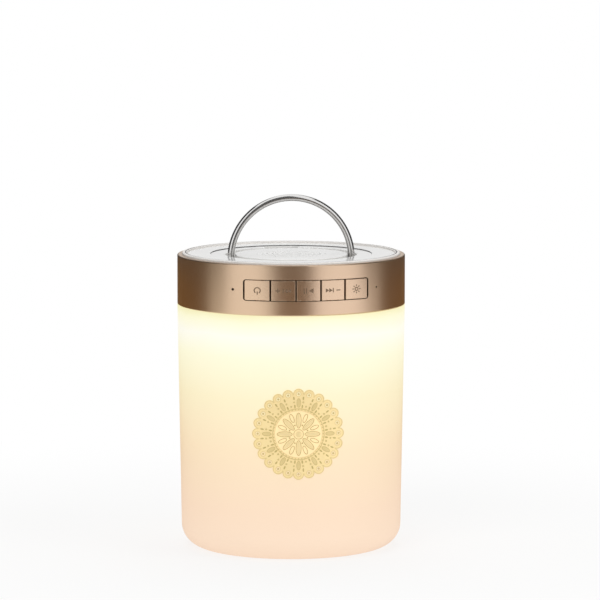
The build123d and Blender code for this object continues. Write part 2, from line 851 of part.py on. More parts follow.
# Chassis: deck with a skirt that the shade snaps on, standoffs above it and bosses below it
foot_pilot_depth = deck_thickness / 2
with BuildPart() as chassis:
    with BuildSketch(Plane.XY.offset(deck_bottom_z)):
        Circle(chassis_radius)
        with Locations(*post_places):
            Circle(screw_radius + screw_play, mode=Mode.SUBTRACT)
        with Locations((light_lead_x, lead_drop_y)):
            Circle(lead_radius + lead_hole_play, mode=Mode.SUBTRACT)
    extrude(amount=deck_thickness)
    with BuildSketch(Plane.XY.offset(deck_top_z)):
        Circle(chassis_radius)
        Circle(skirt_inner_radius, mode=Mode.SUBTRACT)
        with Locations((0, -body_radius / 2)):
            Rectangle(2 * (guide_half + skirt_front_gap), body_radius, mode=Mode.SUBTRACT)
    extrude(amount=skirt_height)
    for angle in mirrored_angles(tab_angle):
        with BuildSketch(Plane.XY.offset(tab_z).rotated((0, 0, angle))):
            with Locations((chassis_radius + (tab_reach - skirt_wall / 2) / 2, 0)):
                Rectangle(tab_reach + skirt_wall / 2, tab_width)
        extrude(amount=tab_height)
    with BuildSketch(Plane.XY.offset(deck_top_z)):
        with Locations(*standoff_places):
            Circle(standoff_radius)
    extrude(amount=board_standoff)
    with BuildSketch(Plane.XY.offset(board_bottom_z)):
        with Locations(*standoff_places):
            Circle(screw_radius + screw_fit)
    extrude(amount=-screw_bite - screw_tip_gap, mode=Mode.SUBTRACT)
    with BuildSketch(Plane.XY.offset(light_board_top_z)):
        with Locations(*light_screw_places):
            Circle(light_boss_radius)
    extrude(amount=light_board_standoff)
    with BuildSketch(Plane.XY.offset(light_board_top_z)):
        with Locations(*light_screw_places):
            Circle(screw_radius + screw_fit)
    extrude(amount=light_board_standoff + foot_pilot_depth, mode=Mode.SUBTRACT)
    with BuildSketch(Plane.XY.offset(deck_top_z)):
        with Locations(*foot_places):
            Circle(screw_radius + screw_fit)
    extrude(amount=-foot_pilot_depth, mode=Mode.SUBTRACT)
save(chassis, "chassis")
make_screws("cover_screws", post_places, deck_bottom_z, deck_thickness + screw_bite)

# Button guide: slotted plate on two cheeks, with feet on the deck and lugs behind the pinholes
cheek_depth = guide_front - cheek_back
foot_depth = guide_back - button_board_back
with BuildPart() as button_guide:
    with BuildSketch(Plane.XZ.offset(guide_back)):
        with Locations((0, window_z)):
            Rectangle(2 * guide_half, 2 * guide_half_height)
            Rectangle(row_width + 2 * guide_fit, button_height + 2 * guide_fit, mode=Mode.SUBTRACT)
    extrude(amount=guide_thickness)
    with BuildSketch(Plane.XY.offset(deck_top_z)):
        with Locations(*[(side * (guide_half - cheek_thickness / 2), 0) for side in (-1, 1)]):
            with Locations((0, -guide_front + cheek_depth / 2)):
                Rectangle(cheek_thickness, cheek_depth)
    extrude(amount=guide_top_z - deck_top_z)
    with BuildSketch(Plane.XY.offset(deck_top_z)):
        with Locations(*foot_places):
            with Locations((0, button_board_front - guide_back + foot_depth / 2)):
                Rectangle(guide_foot_length, foot_depth)
            Circle(screw_radius + screw_play, mode=Mode.SUBTRACT)
    extrude(amount=guide_foot_thickness)
    with BuildSketch(Plane.XZ.offset(lug_front)):
        with Locations(*[(side * (guide_half + lug_outer) / 2, window_z) for side in (-1, 1)]):
            Rectangle(lug_outer - guide_half, lug_height)
    extrude(amount=-lug_thickness)
    with BuildSketch(Plane.XZ.offset(button_board_back - groove_clearance)):
        with Locations((0, (groove_bottom_z + guide_top_z) / 2)):
            Rectangle(2 * (button_board_half + groove_clearance), guide_top_z - groove_bottom_z)
    extrude(amount=button_board_thickness + 2 * groove_clearance, mode=Mode.SUBTRACT)
save(button_guide, "button_guide")
foot_screw_z = deck_top_z + guide_foot_thickness
make_screws("guide_screws", foot_places, foot_screw_z, -guide_foot_thickness - foot_pilot_depth)

# Button board: flat board in the grooves of the cheeks
with BuildPart() as button_board:
    with BuildSketch(Plane.XZ.offset(button_board_back)):
        with Locations((0, window_z)):
            Rectangle(2 * button_board_half, button_board_height)
    extrude(amount=button_board_thickness)
save(button_board, "button_board")

# Switch bodies: one behind each button, bored for its plunger
with BuildPart() as switch_bodies:
    with BuildSketch(Plane.XZ.offset(button_board_front)):
        with Locations(*[(place, window_z) for place in button_places]):
            Rectangle(switch_size, switch_size)
    extrude(amount=switch_depth)
    with BuildSketch(Plane.XZ.offset(button_board_front + switch_floor)):
        with Locations(*[(place, window_z) for place in button_places]):
            Circle(plunger_radius + plunger_fit)
    extrude(amount=switch_depth, mode=Mode.SUBTRACT)
save(switch_bodies, "switch_bodies")

# Buttons: hollow caps with a stem on a plunger, flush with the band and flanged behind the guide
for index, place in enumerate(button_places):
    number = index + 1
    with BuildPart() as switch_plunger:
        with BuildSketch(Plane.XZ.offset(plunger_front)):
            with Locations((place, window_z)):
                Circle(plunger_radius)
        extrude(amount=-plunger_length)
    save(switch_plunger, f"switch_plunger_{number}")
    with BuildPart() as button_hollow:
        with BuildSketch(Plane.XZ.offset(button_flange_back)):
            with Locations((place, window_z)):
                Rectangle(button_width - 2 * button_wall, button_height - 2 * button_wall)
        extrude(amount=body_radius)
        with Locations((0, 0, window_z)):
            Cylinder(body_radius - button_front_wall, window_height, mode=Mode.INTERSECT)
    with BuildPart() as button_cap:
        with BuildSketch(Plane.XZ.offset(button_flange_back)) as cap_outline:
            with Locations((place, window_z)):
                Rectangle(button_width, button_height)
            if index == 0:
                fillet(cap_outline.vertices().sort_by(Axis.X)[:2], radius=button_corner)
            if number == button_count:
                fillet(cap_outline.vertices().sort_by(Axis.X)[-2:], radius=button_corner)
        extrude(amount=body_radius)
        with Locations((0, 0, window_z)):
            Cylinder(body_radius, 2 * window_height, mode=Mode.INTERSECT)
        front_face = button_cap.faces().filter_by(GeomType.CYLINDER).sort_by(SortBy.AREA)[-1]
        fillet(front_face.edges(), radius=button_edge_rounding)
        with BuildSketch(Plane.XZ.offset(button_flange_back)):
            with Locations((place, window_z)):
                Rectangle(button_width, button_height + 2 * button_flange_lip)
        extrude(amount=button_flange_thickness)
        add(button_hollow.part, mode=Mode.SUBTRACT)
        with BuildSketch(Plane.XZ.offset(plunger_front)):
            with Locations((place, window_z)):
                Circle(button_stem_radius)
        stem_end = sqrt((body_radius - button_front_wall / 2) ** 2 - (abs(place) + button_stem_radius) ** 2)
        extrude(amount=stem_end - plunger_front)
    save(button_cap, f"button_cap_{number}")

# Microphone and indicator light: on the lugs, behind their pinholes
with BuildPart() as microphone:
    with BuildSketch(Plane.XZ.offset(lug_front)):
        with Locations((-pinhole_x, window_z)):
            Circle(microphone_radius)
    extrude(amount=microphone_length)
save(microphone, "microphone")
with BuildPart() as indicator_light:
    with BuildSketch(Plane.XZ.offset(lug_front)):
        with Locations((pinhole_x, window_z)):
            Circle(indicator_radius)
    extrude(amount=indicator_length)
    fillet(indicator_light.faces().sort_by(Axis.Y)[0].edges(), radius=indicator_length / 2)
save(indicator_light, "indicator_light")

# Battery pack: flat cell on the deck, under the main board
with BuildPart() as battery_pack:
    with BuildSketch(Plane.XY.offset(deck_top_z)):
        with Locations((0, battery_y)):
            RectangleRounded(battery_length, battery_width, battery_rounding)
    extrude(amount=battery_thickness)
save(battery_pack, "battery_pack")

# Main board: on four standoffs, cut to the round of the band
with BuildPart() as main_board:
    with BuildSketch(Plane.XY.offset(board_bottom_z)):
        Circle(board_radius)
        with Locations((0, board_front_y + body_radius / 2)):
            Rectangle(2 * board_half, body_radius, mode=Mode.INTERSECT)
        with Locations(*standoff_places):
            Circle(screw_radius + screw_play, mode=Mode.SUBTRACT)
    extrude(amount=board_thickness)
save(main_board, "main_board")
make_screws("board_screws", standoff_places, board_top_z, -board_thickness - screw_bite)

# Parts on the main board
with BuildPart() as radio_module:
    with BuildSketch(Plane.XY.offset(board_top_z)):
        with Locations((radio_x, component_y)):
            Rectangle(radio_length, radio_width)
    extrude(amount=radio_thickness)
save(radio_module, "radio_module")
with BuildPart() as amplifier_chip:
    with BuildSketch(Plane.XY.offset(board_top_z)):
        with Locations((amplifier_x, component_y)):
            Rectangle(amplifier_size, amplifier_size)
    extrude(amount=amplifier_thickness)
save(amplifier_chip, "amplifier_chip")
with BuildPart() as capacitors:
    with BuildSketch(Plane.XY.offset(board_top_z)):
        with Locations(*[(capacitor_x + index * capacitor_pitch, component_y) for index in range(2)]):
            Circle(capacitor_radius)
    extrude(amount=capacitor_height)
save(capacitors, "capacitors")
with BuildPart() as board_connectors:
    with BuildSketch(Plane.XY.offset(board_top_z)):
        with Locations(*[(place, connector_y) for place in connector_places]):
            Rectangle(connector_length, connector_width)
    extrude(amount=connector_height)
save(board_connectors, "board_connectors")

# Lead wires: one from each connector, bent along its route
with BuildPart() as lead_wires:
    for lead_x, route in lead_routes.items():
        with BuildLine(Plane.YZ.offset(lead_x)) as lead_path:
            FilletPolyline(*route, radius=lead_bend)
        with BuildSketch(Plane.XZ.offset(-connector_front_y)):
            with Locations((lead_x, lead_z)):
                Circle(lead_radius)
        sweep(path=lead_path.line)
save(lead_wires, "lead_wires")

# Charging socket: rounded shell with a tongue, its mouth behind the slot in the band
with BuildPart() as charging_socket:
    with BuildSketch(Plane.XZ.offset(-socket_mouth_y)):
        with Locations((0, socket_z)):
            SlotOverall(socket_width, socket_height)
    extrude(amount=socket_depth)
    with BuildSketch(Plane.XZ.offset(-socket_mouth_y)):
        with Locations((0, socket_z)):
            SlotOverall(socket_width - 2 * socket_wall, socket_height - 2 * socket_wall)
    extrude(amount=socket_depth - socket_back, mode=Mode.SUBTRACT)
    with BuildSketch(Plane.XZ.offset(socket_depth - socket_back - socket_mouth_y)):
        with Locations((0, socket_z)):
            Rectangle(socket_tongue_width, socket_tongue_height)
    extrude(amount=-socket_tongue_length)
save(charging_socket, "charging_socket")

# Light board under the deck, with two rings of light chips facing down into the shade
with BuildPart() as light_board:
    with BuildSketch(Plane.XY.offset(light_board_bottom_z)):
        Circle(light_board_radius)
        with Locations(*light_screw_places):
            Circle(screw_radius + screw_play, mode=Mode.SUBTRACT)
    extrude(amount=light_board_thickness)
save(light_board, "light_board")
with BuildPart() as light_chips:
    with BuildSketch(Plane.XY.offset(light_board_bottom_z)):
        with PolarLocations(outer_chip_circle_radius, outer_chip_count):
            Rectangle(chip_size, chip_size)
        with PolarLocations(inner_chip_circle_radius, inner_chip_count):
            Rectangle(chip_size, chip_size)
    extrude(amount=-chip_thickness)
save(light_chips, "light_chips")
light_screw_reach = light_board_thickness + light_board_standoff + foot_pilot_depth
make_screws("light_board_screws", light_screw_places, light_board_bottom_z, light_screw_reach)
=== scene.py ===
"""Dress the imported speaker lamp: finishes, finer visible pieces, studio light and camera."""
import json
import logging
import math
from dataclasses import dataclass, field
from enum import Enum, auto
from typing import ClassVar, Optional, Sequence, Union

import bmesh
import bpy
from mathutils import Matrix, Vector

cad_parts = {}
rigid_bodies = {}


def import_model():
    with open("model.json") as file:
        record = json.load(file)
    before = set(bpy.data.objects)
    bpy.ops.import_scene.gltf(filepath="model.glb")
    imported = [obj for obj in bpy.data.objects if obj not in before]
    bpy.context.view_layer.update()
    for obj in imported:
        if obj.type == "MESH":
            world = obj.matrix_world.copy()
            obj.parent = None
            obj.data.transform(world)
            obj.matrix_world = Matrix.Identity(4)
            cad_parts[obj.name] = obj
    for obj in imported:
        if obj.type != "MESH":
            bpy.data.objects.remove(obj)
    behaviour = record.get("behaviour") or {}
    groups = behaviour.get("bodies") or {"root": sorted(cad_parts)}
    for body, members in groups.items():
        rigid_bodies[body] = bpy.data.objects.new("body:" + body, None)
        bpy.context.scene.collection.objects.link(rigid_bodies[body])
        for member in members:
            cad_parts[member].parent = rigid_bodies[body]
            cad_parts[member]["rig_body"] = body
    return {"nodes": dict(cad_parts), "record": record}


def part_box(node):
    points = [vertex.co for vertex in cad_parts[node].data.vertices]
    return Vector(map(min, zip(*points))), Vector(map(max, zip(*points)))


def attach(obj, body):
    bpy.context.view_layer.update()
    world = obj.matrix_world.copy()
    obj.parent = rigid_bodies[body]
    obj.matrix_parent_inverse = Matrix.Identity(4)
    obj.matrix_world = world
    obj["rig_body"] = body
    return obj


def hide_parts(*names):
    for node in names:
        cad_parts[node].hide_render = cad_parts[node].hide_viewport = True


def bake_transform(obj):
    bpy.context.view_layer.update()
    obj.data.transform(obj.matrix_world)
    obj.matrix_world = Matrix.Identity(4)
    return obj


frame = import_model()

LOG = logging.getLogger("speaker_lamp")
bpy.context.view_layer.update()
MM = 0.001
FULL_TURN = 2 * math.pi
BODY = "lamp_body"
VIEW_AZIMUTH = math.radians(-8.65)
SHADE_HEIGHT = 118.0 * MM
PLAQUE_HEIGHT = 61.8 * MM
PIVOT_HEIGHT = 139.7 * MM
WIRE_RADIUS = 1.65 * MM

Colour = tuple[float, float, float]
Place = tuple[float, float, float]
Point = tuple[float, float]
Outline = list[Point]
Stops = tuple[tuple[float, Colour], ...]
Setting = Union[str, Stops]


class Run(Enum):
    """Ways from one level to another, with Blender's names for them."""

    EVEN = "LINEAR"
    EASED = "SMOOTHSTEP"


class Signal:
    """Output socket of a node, with arithmetic that adds Math nodes to its tree."""

    def __init__(self, graph: "Graph", socket: bpy.types.NodeSocket) -> None:
        """Keep the tree and the socket."""
        self.graph = graph
        self.socket = socket

    def output(self, name: str) -> "Signal":
        """Another output of the same node."""
        return Signal(self.graph, self.socket.node.outputs[name])

    def maths(self, operation: str, *values: "Value") -> "Signal":
        """Result of a Math node that starts from this signal."""
        return self.graph.maths(operation, self, *values)

    def __add__(self, other: "Value") -> "Signal":
        """This plus another value."""
        return self.maths("ADD", other)

    def __radd__(self, other: "Value") -> "Signal":
        """A number plus this."""
        return self.graph.maths("ADD", other, self)

    def __sub__(self, other: "Value") -> "Signal":
        """This less another value."""
        return self.maths("SUBTRACT", other)

    def __rsub__(self, other: "Value") -> "Signal":
        """A number less this."""
        return self.graph.maths("SUBTRACT", other, self)

    def __mul__(self, other: "Value") -> "Signal":
        """This times another value."""
        return self.maths("MULTIPLY", other)

    def __rmul__(self, other: "Value") -> "Signal":
        """A number times this."""
        return self.graph.maths("MULTIPLY", other, self)

    def __truediv__(self, other: "Value") -> "Signal":
        """This over another value."""
        return self.maths("DIVIDE", other)

    def __rtruediv__(self, other: "Value") -> "Signal":
        """A number over this."""
        return self.graph.maths("DIVIDE", other, self)

    def swing(self, amount: float) -> "Signal":
        """A pattern from 0 to 1, centred on 0 and scaled."""
        return (self - 0.5) * amount

    def raised(self) -> "Signal":
        """A pattern from -1 to 1, brought to 0 to 1."""
        return self * 0.5 + 0.5

    def near(self, level: float, reach: float) -> "Signal":
        """1 where this lies within a reach of a level, otherwise 0."""
        return (self - level).maths("ABSOLUTE").maths("LESS_THAN", reach)

    def diagonal(self, other: "Signal") -> "Signal":
        """Length of the diagonal over this and another signal."""
        return (self * self + other * other).maths("SQRT")

    def wave(self, pitch: float) -> "Signal":
        """Sine wave along this, from -1 to 1."""
        return (self * (FULL_TURN / pitch)).maths("SINE")


Value = Union[Signal, float]
Input = Union[Signal, float, int, bool, str, tuple, bpy.types.ID]


class Graph:
    """Node tree of a material, the world or a Geometry Nodes group while it is being built."""

    # A Mix node has sockets of the same name for each kind of value, so its colours go by number.
    first_colour: ClassVar[int] = 6
    second_colour: ClassVar[int] = 7
    mixed_colour: ClassVar[int] = 2

    def __init__(self, tree: bpy.types.NodeTree) -> None:
        """Start from an empty tree."""
        self.tree = tree
        tree.nodes.clear()

    def add(
        self,
        kind: str,
        settings: Optional[dict[str, Setting]] = None,
        inputs: Optional[dict[Union[str, int], Input]] = None,
        output: Union[str, int] = 0,
    ) -> Signal:
        """Add one node.

        Args:
            kind: The node's type.
            settings: Properties that are set first; "stops" gives a ramp's positions and colours.
            inputs: Values or signals by socket name or number.
            output: The output that the result stands for.

        Returns:
            The chosen output of the new node, or the first input of a node that has no output.
        """
        node = self.tree.nodes.new(kind)
        for name, value in (settings or {}).items():
            if name == "stops":
                self.set_stops(node.color_ramp, value)
            else:
                setattr(node, name, value)
        for name, value in (inputs or {}).items():
            self.feed(node.inputs[name], value)
        return Signal(self, node.outputs[output] if node.outputs else node.inputs[0])

    def feed(self, socket: bpy.types.NodeSocket, value: Input) -> None:
        """Link a signal to a socket, or set the socket's own value.

        Args:
            socket: The socket that takes it.
            value: A signal of this tree, or a plain value.
        """
        if isinstance(value, Signal):
            self.tree.links.new(value.socket, socket)
        else:
            socket.default_value = value

    def set_stops(self, ramp: bpy.types.ColorRamp, stops: Stops) -> None:
        """Give a colour ramp its positions and colours.

        Args:
            ramp: The ramp to fill.
            stops: Positions from 0 to 1, each with a linear colour.
        """
        while len(ramp.elements) < len(stops):
            ramp.elements.new(1.0)
        for element, (position, colour) in zip(ramp.elements, stops):
            element.position = position
            element.color = (*colour, 1.0)

    def maths(self, operation: str, *values: Value) -> Signal:
        """Result of a Math node on values or signals."""
        return self.add("ShaderNodeMath", {"operation": operation}, dict(enumerate(values)))

    def vector(self, operation: str, *values: Input) -> Signal:
        """Result of a Vector Math node on vectors."""
        return self.add("ShaderNodeVectorMath", {"operation": operation}, dict(enumerate(values)))

    def mix(self, factor: Value, first: Input, second: Input) -> Signal:
        """Blend two colours.

        Args:
            factor: 0 gives the first colour, 1 the second.
            first: Colour or colour signal.
            second: Colour or colour signal.

        Returns:
            The blended colour.
        """
        inputs = {"Factor": factor}
        for socket, colour in ((self.first_colour, first), (self.second_colour, second)):
            inputs[socket] = colour if isinstance(colour, Signal) else (*colour, 1.0)
        return self.add("ShaderNodeMix", {"data_type": "RGBA"}, inputs, self.mixed_colour)

    def fade(
        self, value: Signal, span: Point, levels: Point = (0.0, 1.0), run: Run = Run.EVEN
    ) -> Signal:
        """Run from one level to another.

        Args:
            value: The signal that the level follows.
            span: Its values where the run starts and ends.
            levels: The levels before the start and after the end.
            run: The way between them.

        Returns:
            The level.
        """
        inputs = {"Value": value, "From Min": span[0], "From Max": span[1]}
        inputs |= {"To Min": levels[0], "To Max": levels[1]}
        return self.add("ShaderNodeMapRange", {"interpolation_type": run.value}, inputs)

    def place(self) -> Signal:
        """Object coordinates, in metres."""
        return self.add("ShaderNodeTexCoord", output="Object")

    def axes(self, place: Signal) -> tuple[Signal, Signal, Signal]:
        """The x, y and z parts of a vector."""
        split = self.add("ShaderNodeSeparateXYZ", None, {0: place})
        return split, split.output("Y"), split.output("Z")

    def noise(self, place: Signal, scale: float, detail: float = 2.0) -> Signal:
        """Noise from 0 to 1 at a scale per metre."""
        inputs = {"Vector": place, "Scale": scale, "Detail": detail}
        return self.add("ShaderNodeTexNoise", None, inputs)

    def bump(self, height: Signal, depth: float) -> Signal:
        """Normal tilted by a height signal of a given depth in metres."""
        inputs = {"Height": height, "Distance": depth, "Strength": 1.0}
        return self.add("ShaderNodeBump", None, inputs, "Normal")

    def shader(self, **inputs: Input) -> Signal:
        """Principled shader with its inputs named in lower case.

        Args:
            inputs: Values or signals, such as base_color or coat_weight.

        Returns:
            The shader's output.
        """
        named = {}
        for name, value in inputs.items():
            label = name.replace("_", " ").title().replace("Ior", "IOR")
            named[label] = (*value, 1.0) if isinstance(value, tuple) else value
        return self.add("ShaderNodeBsdfPrincipled", None, named)

    def shining(self, colour: Colour) -> Signal:
        """Shader that only gives off a colour."""
        return self.add("ShaderNodeEmission", None, {"Color": (*colour, 1.0), "Strength": 1.0})


def scaled(colour: Colour, share: float) -> Colour:
    """Colour at a share of its level."""
    return tuple(part * share for part in colour)


def node_material(name: str) -> tuple[bpy.types.Material, Graph]:
    """Make a material of nodes.

    Args:
        name: Name of the material.

    Returns:
        The material and its empty tree.
    """
    material = bpy.data.materials.new(name)
    material.use_nodes = True
    return material, Graph(material.node_tree)


def mesh_from(work: bmesh.types.BMesh, name: str) -> bpy.types.Mesh:
    """Turn a bmesh that is done into a plain mesh.

    Args:
        work: The bmesh, which is freed.
        name: Name of the mesh.

    Returns:
        The mesh.
    """
    mesh = bpy.data.meshes.new(name)
    work.to_mesh(mesh)
    work.free()
    return mesh


def put(name: str, data: bpy.types.ID) -> bpy.types.Object:
    """Put a new object in the scene.

    Args:
        name: Name of the object.
        data: Its mesh, light or camera.

    Returns:
        The object, at the origin.
    """
    thing = bpy.data.objects.new(name, data)
    bpy.context.scene.collection.objects.link(thing)
    return thing


class Finish:
    """Surface finish that makes its material once and gives the same one after that."""

    name: str
    grain_detail: ClassVar[float] = 3.0
    stain_detail: ClassVar[float] = 4.0

    def material(self) -> bpy.types.Material:
        """Make the material of this finish, or find it again.

        Returns:
            The same material each time.
        """
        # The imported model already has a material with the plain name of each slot.
        label = f"{self.name}_finish"
        made = bpy.data.materials.get(label)
        if made is None:
            made, graph = node_material(label)
            graph.add("ShaderNodeOutputMaterial", None, {"Surface": self.surface(graph)})
        return made

    def surface(self, graph: Graph) -> Signal:
        """The shader of this finish."""
        raise NotImplementedError


@dataclass(frozen=True)
class FrostedGlow(Finish):
    """Frosted shade lit from inside: brightest under the band, warmer towards its end and edges."""

    name: str = "frosted_shade"
    body: Colour = (0.28, 0.25, 0.21)
    height: float = SHADE_HEIGHT
    stops: Stops = (
        (0.00, (0.770, 0.594, 0.460)),
        (0.20, (0.770, 0.583, 0.424)),
        (0.45, (0.784, 0.630, 0.410)),
        (0.66, (0.771, 0.703, 0.452)),
        (0.82, (0.777, 0.774, 0.563)),
        (0.91, (0.778, 0.784, 0.704)),
        (0.97, (0.768, 0.764, 0.538)),
        (1.00, (0.707, 0.677, 0.373)),
    )
    cloud_scale: float = 45.0
    cloud_swing: float = 0.03
    roughness: float = 0.42
    frost_roughness: float = 0.16
    frost_scale: float = 5200.0
    frost_depth: float = 0.02 * MM
    gloss: float = 0.3
    wall_tint: Colour = (0.96, 0.948, 0.94)
    wall_ior: float = 1.02
    wall_roughness: float = 0.5
    wall_fade: Point = (0.37, 0.89)

    def surface(self, graph: Graph) -> Signal:
        """Glow that follows the height, under a frosted wall that warms it towards the edges.

        Args:
            graph: The empty tree of the finish.

        Returns:
            Its shader.
        """
        place = graph.place()
        height = graph.axes(place)[2] / self.height
        level = height + graph.noise(place, self.cloud_scale).swing(self.cloud_swing)
        frost = graph.noise(place, self.frost_scale)
        return graph.shader(
            base_color=self.body,
            roughness=self.roughness + frost * self.frost_roughness,
            specular_ior_level=self.gloss,
            normal=graph.bump(frost, self.frost_depth),
            coat_weight=graph.fade(height, self.wall_fade, (1.0, 0.0)),
            coat_roughness=self.wall_roughness,
            coat_ior=self.wall_ior,
            coat_tint=self.wall_tint,
            emission_color=graph.add(
                "ShaderNodeValToRGB", {"stops": self.stops}, {"Fac": level}, "Color"
            ),
            emission_strength=1.0,
        )


@dataclass(frozen=True)
class SatinMetal(Finish):
    """Blasted and anodised metal with a fine grain."""

    name: str
    tint: Colour = (0.78, 0.585, 0.425)
    deep_share: float = 0.86
    roughness: float = 0.32
    grain_scale: float = 6500.0
    grain_depth: float = 0.0045 * MM
    grain_swing: float = 0.12
    patch_scale: float = 60.0
    patch_swing: float = 0.04

    def surface(self, graph: Graph) -> Signal:
        """Metal whose grain shifts colour, roughness and normal a little.

        Args:
            graph: The empty tree of the finish.

        Returns:
            Its shader.
        """
        place = graph.place()
        grain = graph.noise(place, self.grain_scale, self.grain_detail)
        patch = graph.noise(place, self.patch_scale)
        grained = self.roughness + grain.swing(self.grain_swing)
        return graph.shader(
            base_color=graph.mix(grain, scaled(self.tint, self.deep_share), self.tint),
            metallic=1.0,
            roughness=grained + patch.swing(self.patch_swing),
            normal=graph.bump(grain, self.grain_depth),
        )


@dataclass(frozen=True)
class ShadeLine:
    """Painted shade: a dark line round the lamp's axis, standing in for the shade in a recess or
    beside a lip.
    """

    radius: float
    reach: float
    level: float
    rise: float
    tint: Colour = (0.12, 0.12, 0.125)

    def over(self, graph: Graph, place: Signal, colour: Signal) -> Signal:
        """Paint the dark line of shade over a colour.

        Args:
            graph: The tree of the finish.
            place: Object coordinates.
            colour: Colour of the plain surface.

        Returns:
            The colour with its painted shade line.
        """
        across, along, height = graph.axes(place)
        near = across.diagonal(along).near(self.radius, self.reach)
        return graph.mix(near * height.near(self.level, self.rise), colour, self.tint)


@dataclass(frozen=True)
class GlossWhite(Finish):
    """Glossy moulded plastic, very slightly wavy as a moulding is."""

    name: str
    tint: Colour = (0.83, 0.83, 0.82)
    warmth: Colour = (0.97, 0.955, 0.94)
    roughness: float = 0.045
    # Painted shade: an optional dark line where the surface lies in shade, such as a recess wall.
    shade_line: Optional[ShadeLine] = None
    wave_scale: float = 90.0
    wave_depth: float = 0.01 * MM
    mark_scale: float = 900.0
    mark_roughness: float = 0.05
    coat: float = 0.15
    coat_roughness: float = 0.04

    def surface(self, graph: Graph) -> Signal:
        """White plastic with a thin clear gloss and faint handling marks.

        Args:
            graph: The empty tree of the finish.

        Returns:
            Its shader.
        """
        place = graph.place()
        wave = graph.noise(place, self.wave_scale)
        marks = graph.noise(place, self.mark_scale, self.stain_detail)
        warm = tuple(part * share for part, share in zip(self.tint, self.warmth))
        colour = graph.mix(wave, warm, self.tint)
        return graph.shader(
            base_color=self.shade_line.over(graph, place, colour) if self.shade_line else colour,
            roughness=self.roughness + marks * self.mark_roughness,
            normal=graph.bump(wave, self.wave_depth),
            coat_weight=self.coat,
            coat_roughness=self.coat_roughness,
        )


@dataclass(frozen=True)
class PolishedSteel(Finish):
    """Bright drawn wire, bent to a ring, with painted dark reflections in lines along it."""

    name: str = "bright_wire"
    tint: Colour = (0.78, 0.77, 0.76)
    # Painted reflections: dark lines on the wire's inner side and middle, where it would mirror
    # dark surroundings.
    reflection_tint: Colour = (0.20, 0.195, 0.19)
    roughness: float = 0.10
    ring_centre: Place = (0.0, 0.0, PIVOT_HEIGHT)
    ring_radius: float = 29.5 * MM
    wire_radius: float = WIRE_RADIUS
    reflection_places: tuple[float, ...] = (0.07, 0.44)
    reflection_reach: float = 0.18
    smear_scale: float = 260.0
    smear_roughness: float = 0.06
    smear_share: float = 0.2
    fine_scale: float = 4200.0
    fine_depth: float = 0.0012 * MM

    def surface(self, graph: Graph) -> Signal:
        """Polished metal with painted dark reflection lines and faint smears in its gloss.

        Args:
            graph: The empty tree of the finish.

        Returns:
            Its shader.
        """
        place = graph.place()
        smear = graph.noise(place, self.smear_scale, self.stain_detail)
        across, _, up = graph.axes(graph.vector("SUBTRACT", place, self.ring_centre))
        share = (across.diagonal(up) - self.ring_radius) / (2 * self.wire_radius) + 0.5
        # Painted reflection lines, placed as shares across the wire from its inner side, faded by
        # the smears.
        painted_reflections: Value = 0.0
        for line in self.reflection_places:
            strength = 1.0 - (share - line).maths("ABSOLUTE") / self.reflection_reach
            painted_reflections = strength.maths("MAXIMUM", painted_reflections)
        wear = (1.0 - self.smear_share) + smear * self.smear_share
        return graph.shader(
            base_color=graph.mix(painted_reflections * wear, self.tint, self.reflection_tint),
            metallic=1.0,
            roughness=self.roughness + smear * self.smear_roughness,
            normal=graph.bump(graph.noise(place, self.fine_scale), self.fine_depth),
        )


@dataclass(frozen=True)
class GoldRelief(Finish):
    """Gold plaque whose relief motifs are darker or lighter by a tone, which the relief carries as
    its own attribute.
    """

    name: str = "gold_plaque"
    light: Colour = (0.62, 0.50, 0.27)
    dark: Colour = (0.33, 0.26, 0.085)
    glow: Colour = (0.43, 0.335, 0.165)
    dark_glow: Colour = (0.165, 0.123, 0.035)
    field_glow: Colour = (0.585, 0.465, 0.275)
    centre: Place = (-4.67 * MM, 0.0, PLAQUE_HEIGHT)
    field_edge: Point = (10.8 * MM, 11.8 * MM)
    tone: ClassVar[str] = "tone"
    tone_share: float = 0.9
    patch_share: float = 0.2
    patch_scale: float = 240.0
    metallic: float = 0.3
    roughness: float = 0.38
    grain_roughness: float = 0.2
    grain_scale: float = 3800.0
    grain_depth: float = 0.008 * MM

    def surface(self, graph: Graph) -> Signal:
        """Soft gold with a grain, darkened by the tone and lit a little from behind.

        Args:
            graph: The empty tree of the finish.

        Returns:
            Its shader.
        """
        place = graph.place()
        grain = graph.noise(place, self.grain_scale, self.grain_detail)
        patch = graph.noise(place, self.patch_scale)
        tone = graph.add("ShaderNodeAttribute", {"attribute_name": self.tone}, None, "Fac")
        shade = tone * self.tone_share + patch * self.patch_share
        across, _, up = graph.axes(graph.vector("SUBTRACT", place, self.centre))
        rim = graph.fade(across.diagonal(up), self.field_edge)
        back = graph.mix(rim, self.field_glow, self.glow)
        return graph.shader(
            base_color=graph.mix(shade, self.light, self.dark),
            metallic=self.metallic,
            roughness=self.roughness + grain * self.grain_roughness,
            normal=graph.bump(grain, self.grain_depth),
            # Painted glow: the plaque's emission stands in for the shade's light showing through
            # it, brighter over its middle field.
            emission_color=graph.mix(shade, back, self.dark_glow),
            emission_strength=1.0,
        )


@dataclass(frozen=True)
class MarkInk(Finish):
    """Etched dark lines of the button symbols."""

    name: str = "button_mark"
    tint: Colour = (0.15, 0.095, 0.055)
    worn_share: float = 1.5
    wear_scale: float = 2600.0
    roughness: float = 0.55
    wear_roughness: float = 0.2

    def surface(self, graph: Graph) -> Signal:
        """Dull dark brown with a slight unevenness.

        Args:
            graph: The empty tree of the finish.

        Returns:
            Its shader.
        """
        wear = graph.noise(graph.place(), self.wear_scale)
        return graph.shader(
            base_color=graph.mix(wear, self.tint, scaled(self.tint, self.worn_share)),
            roughness=self.roughness + wear * self.wear_roughness,
        )


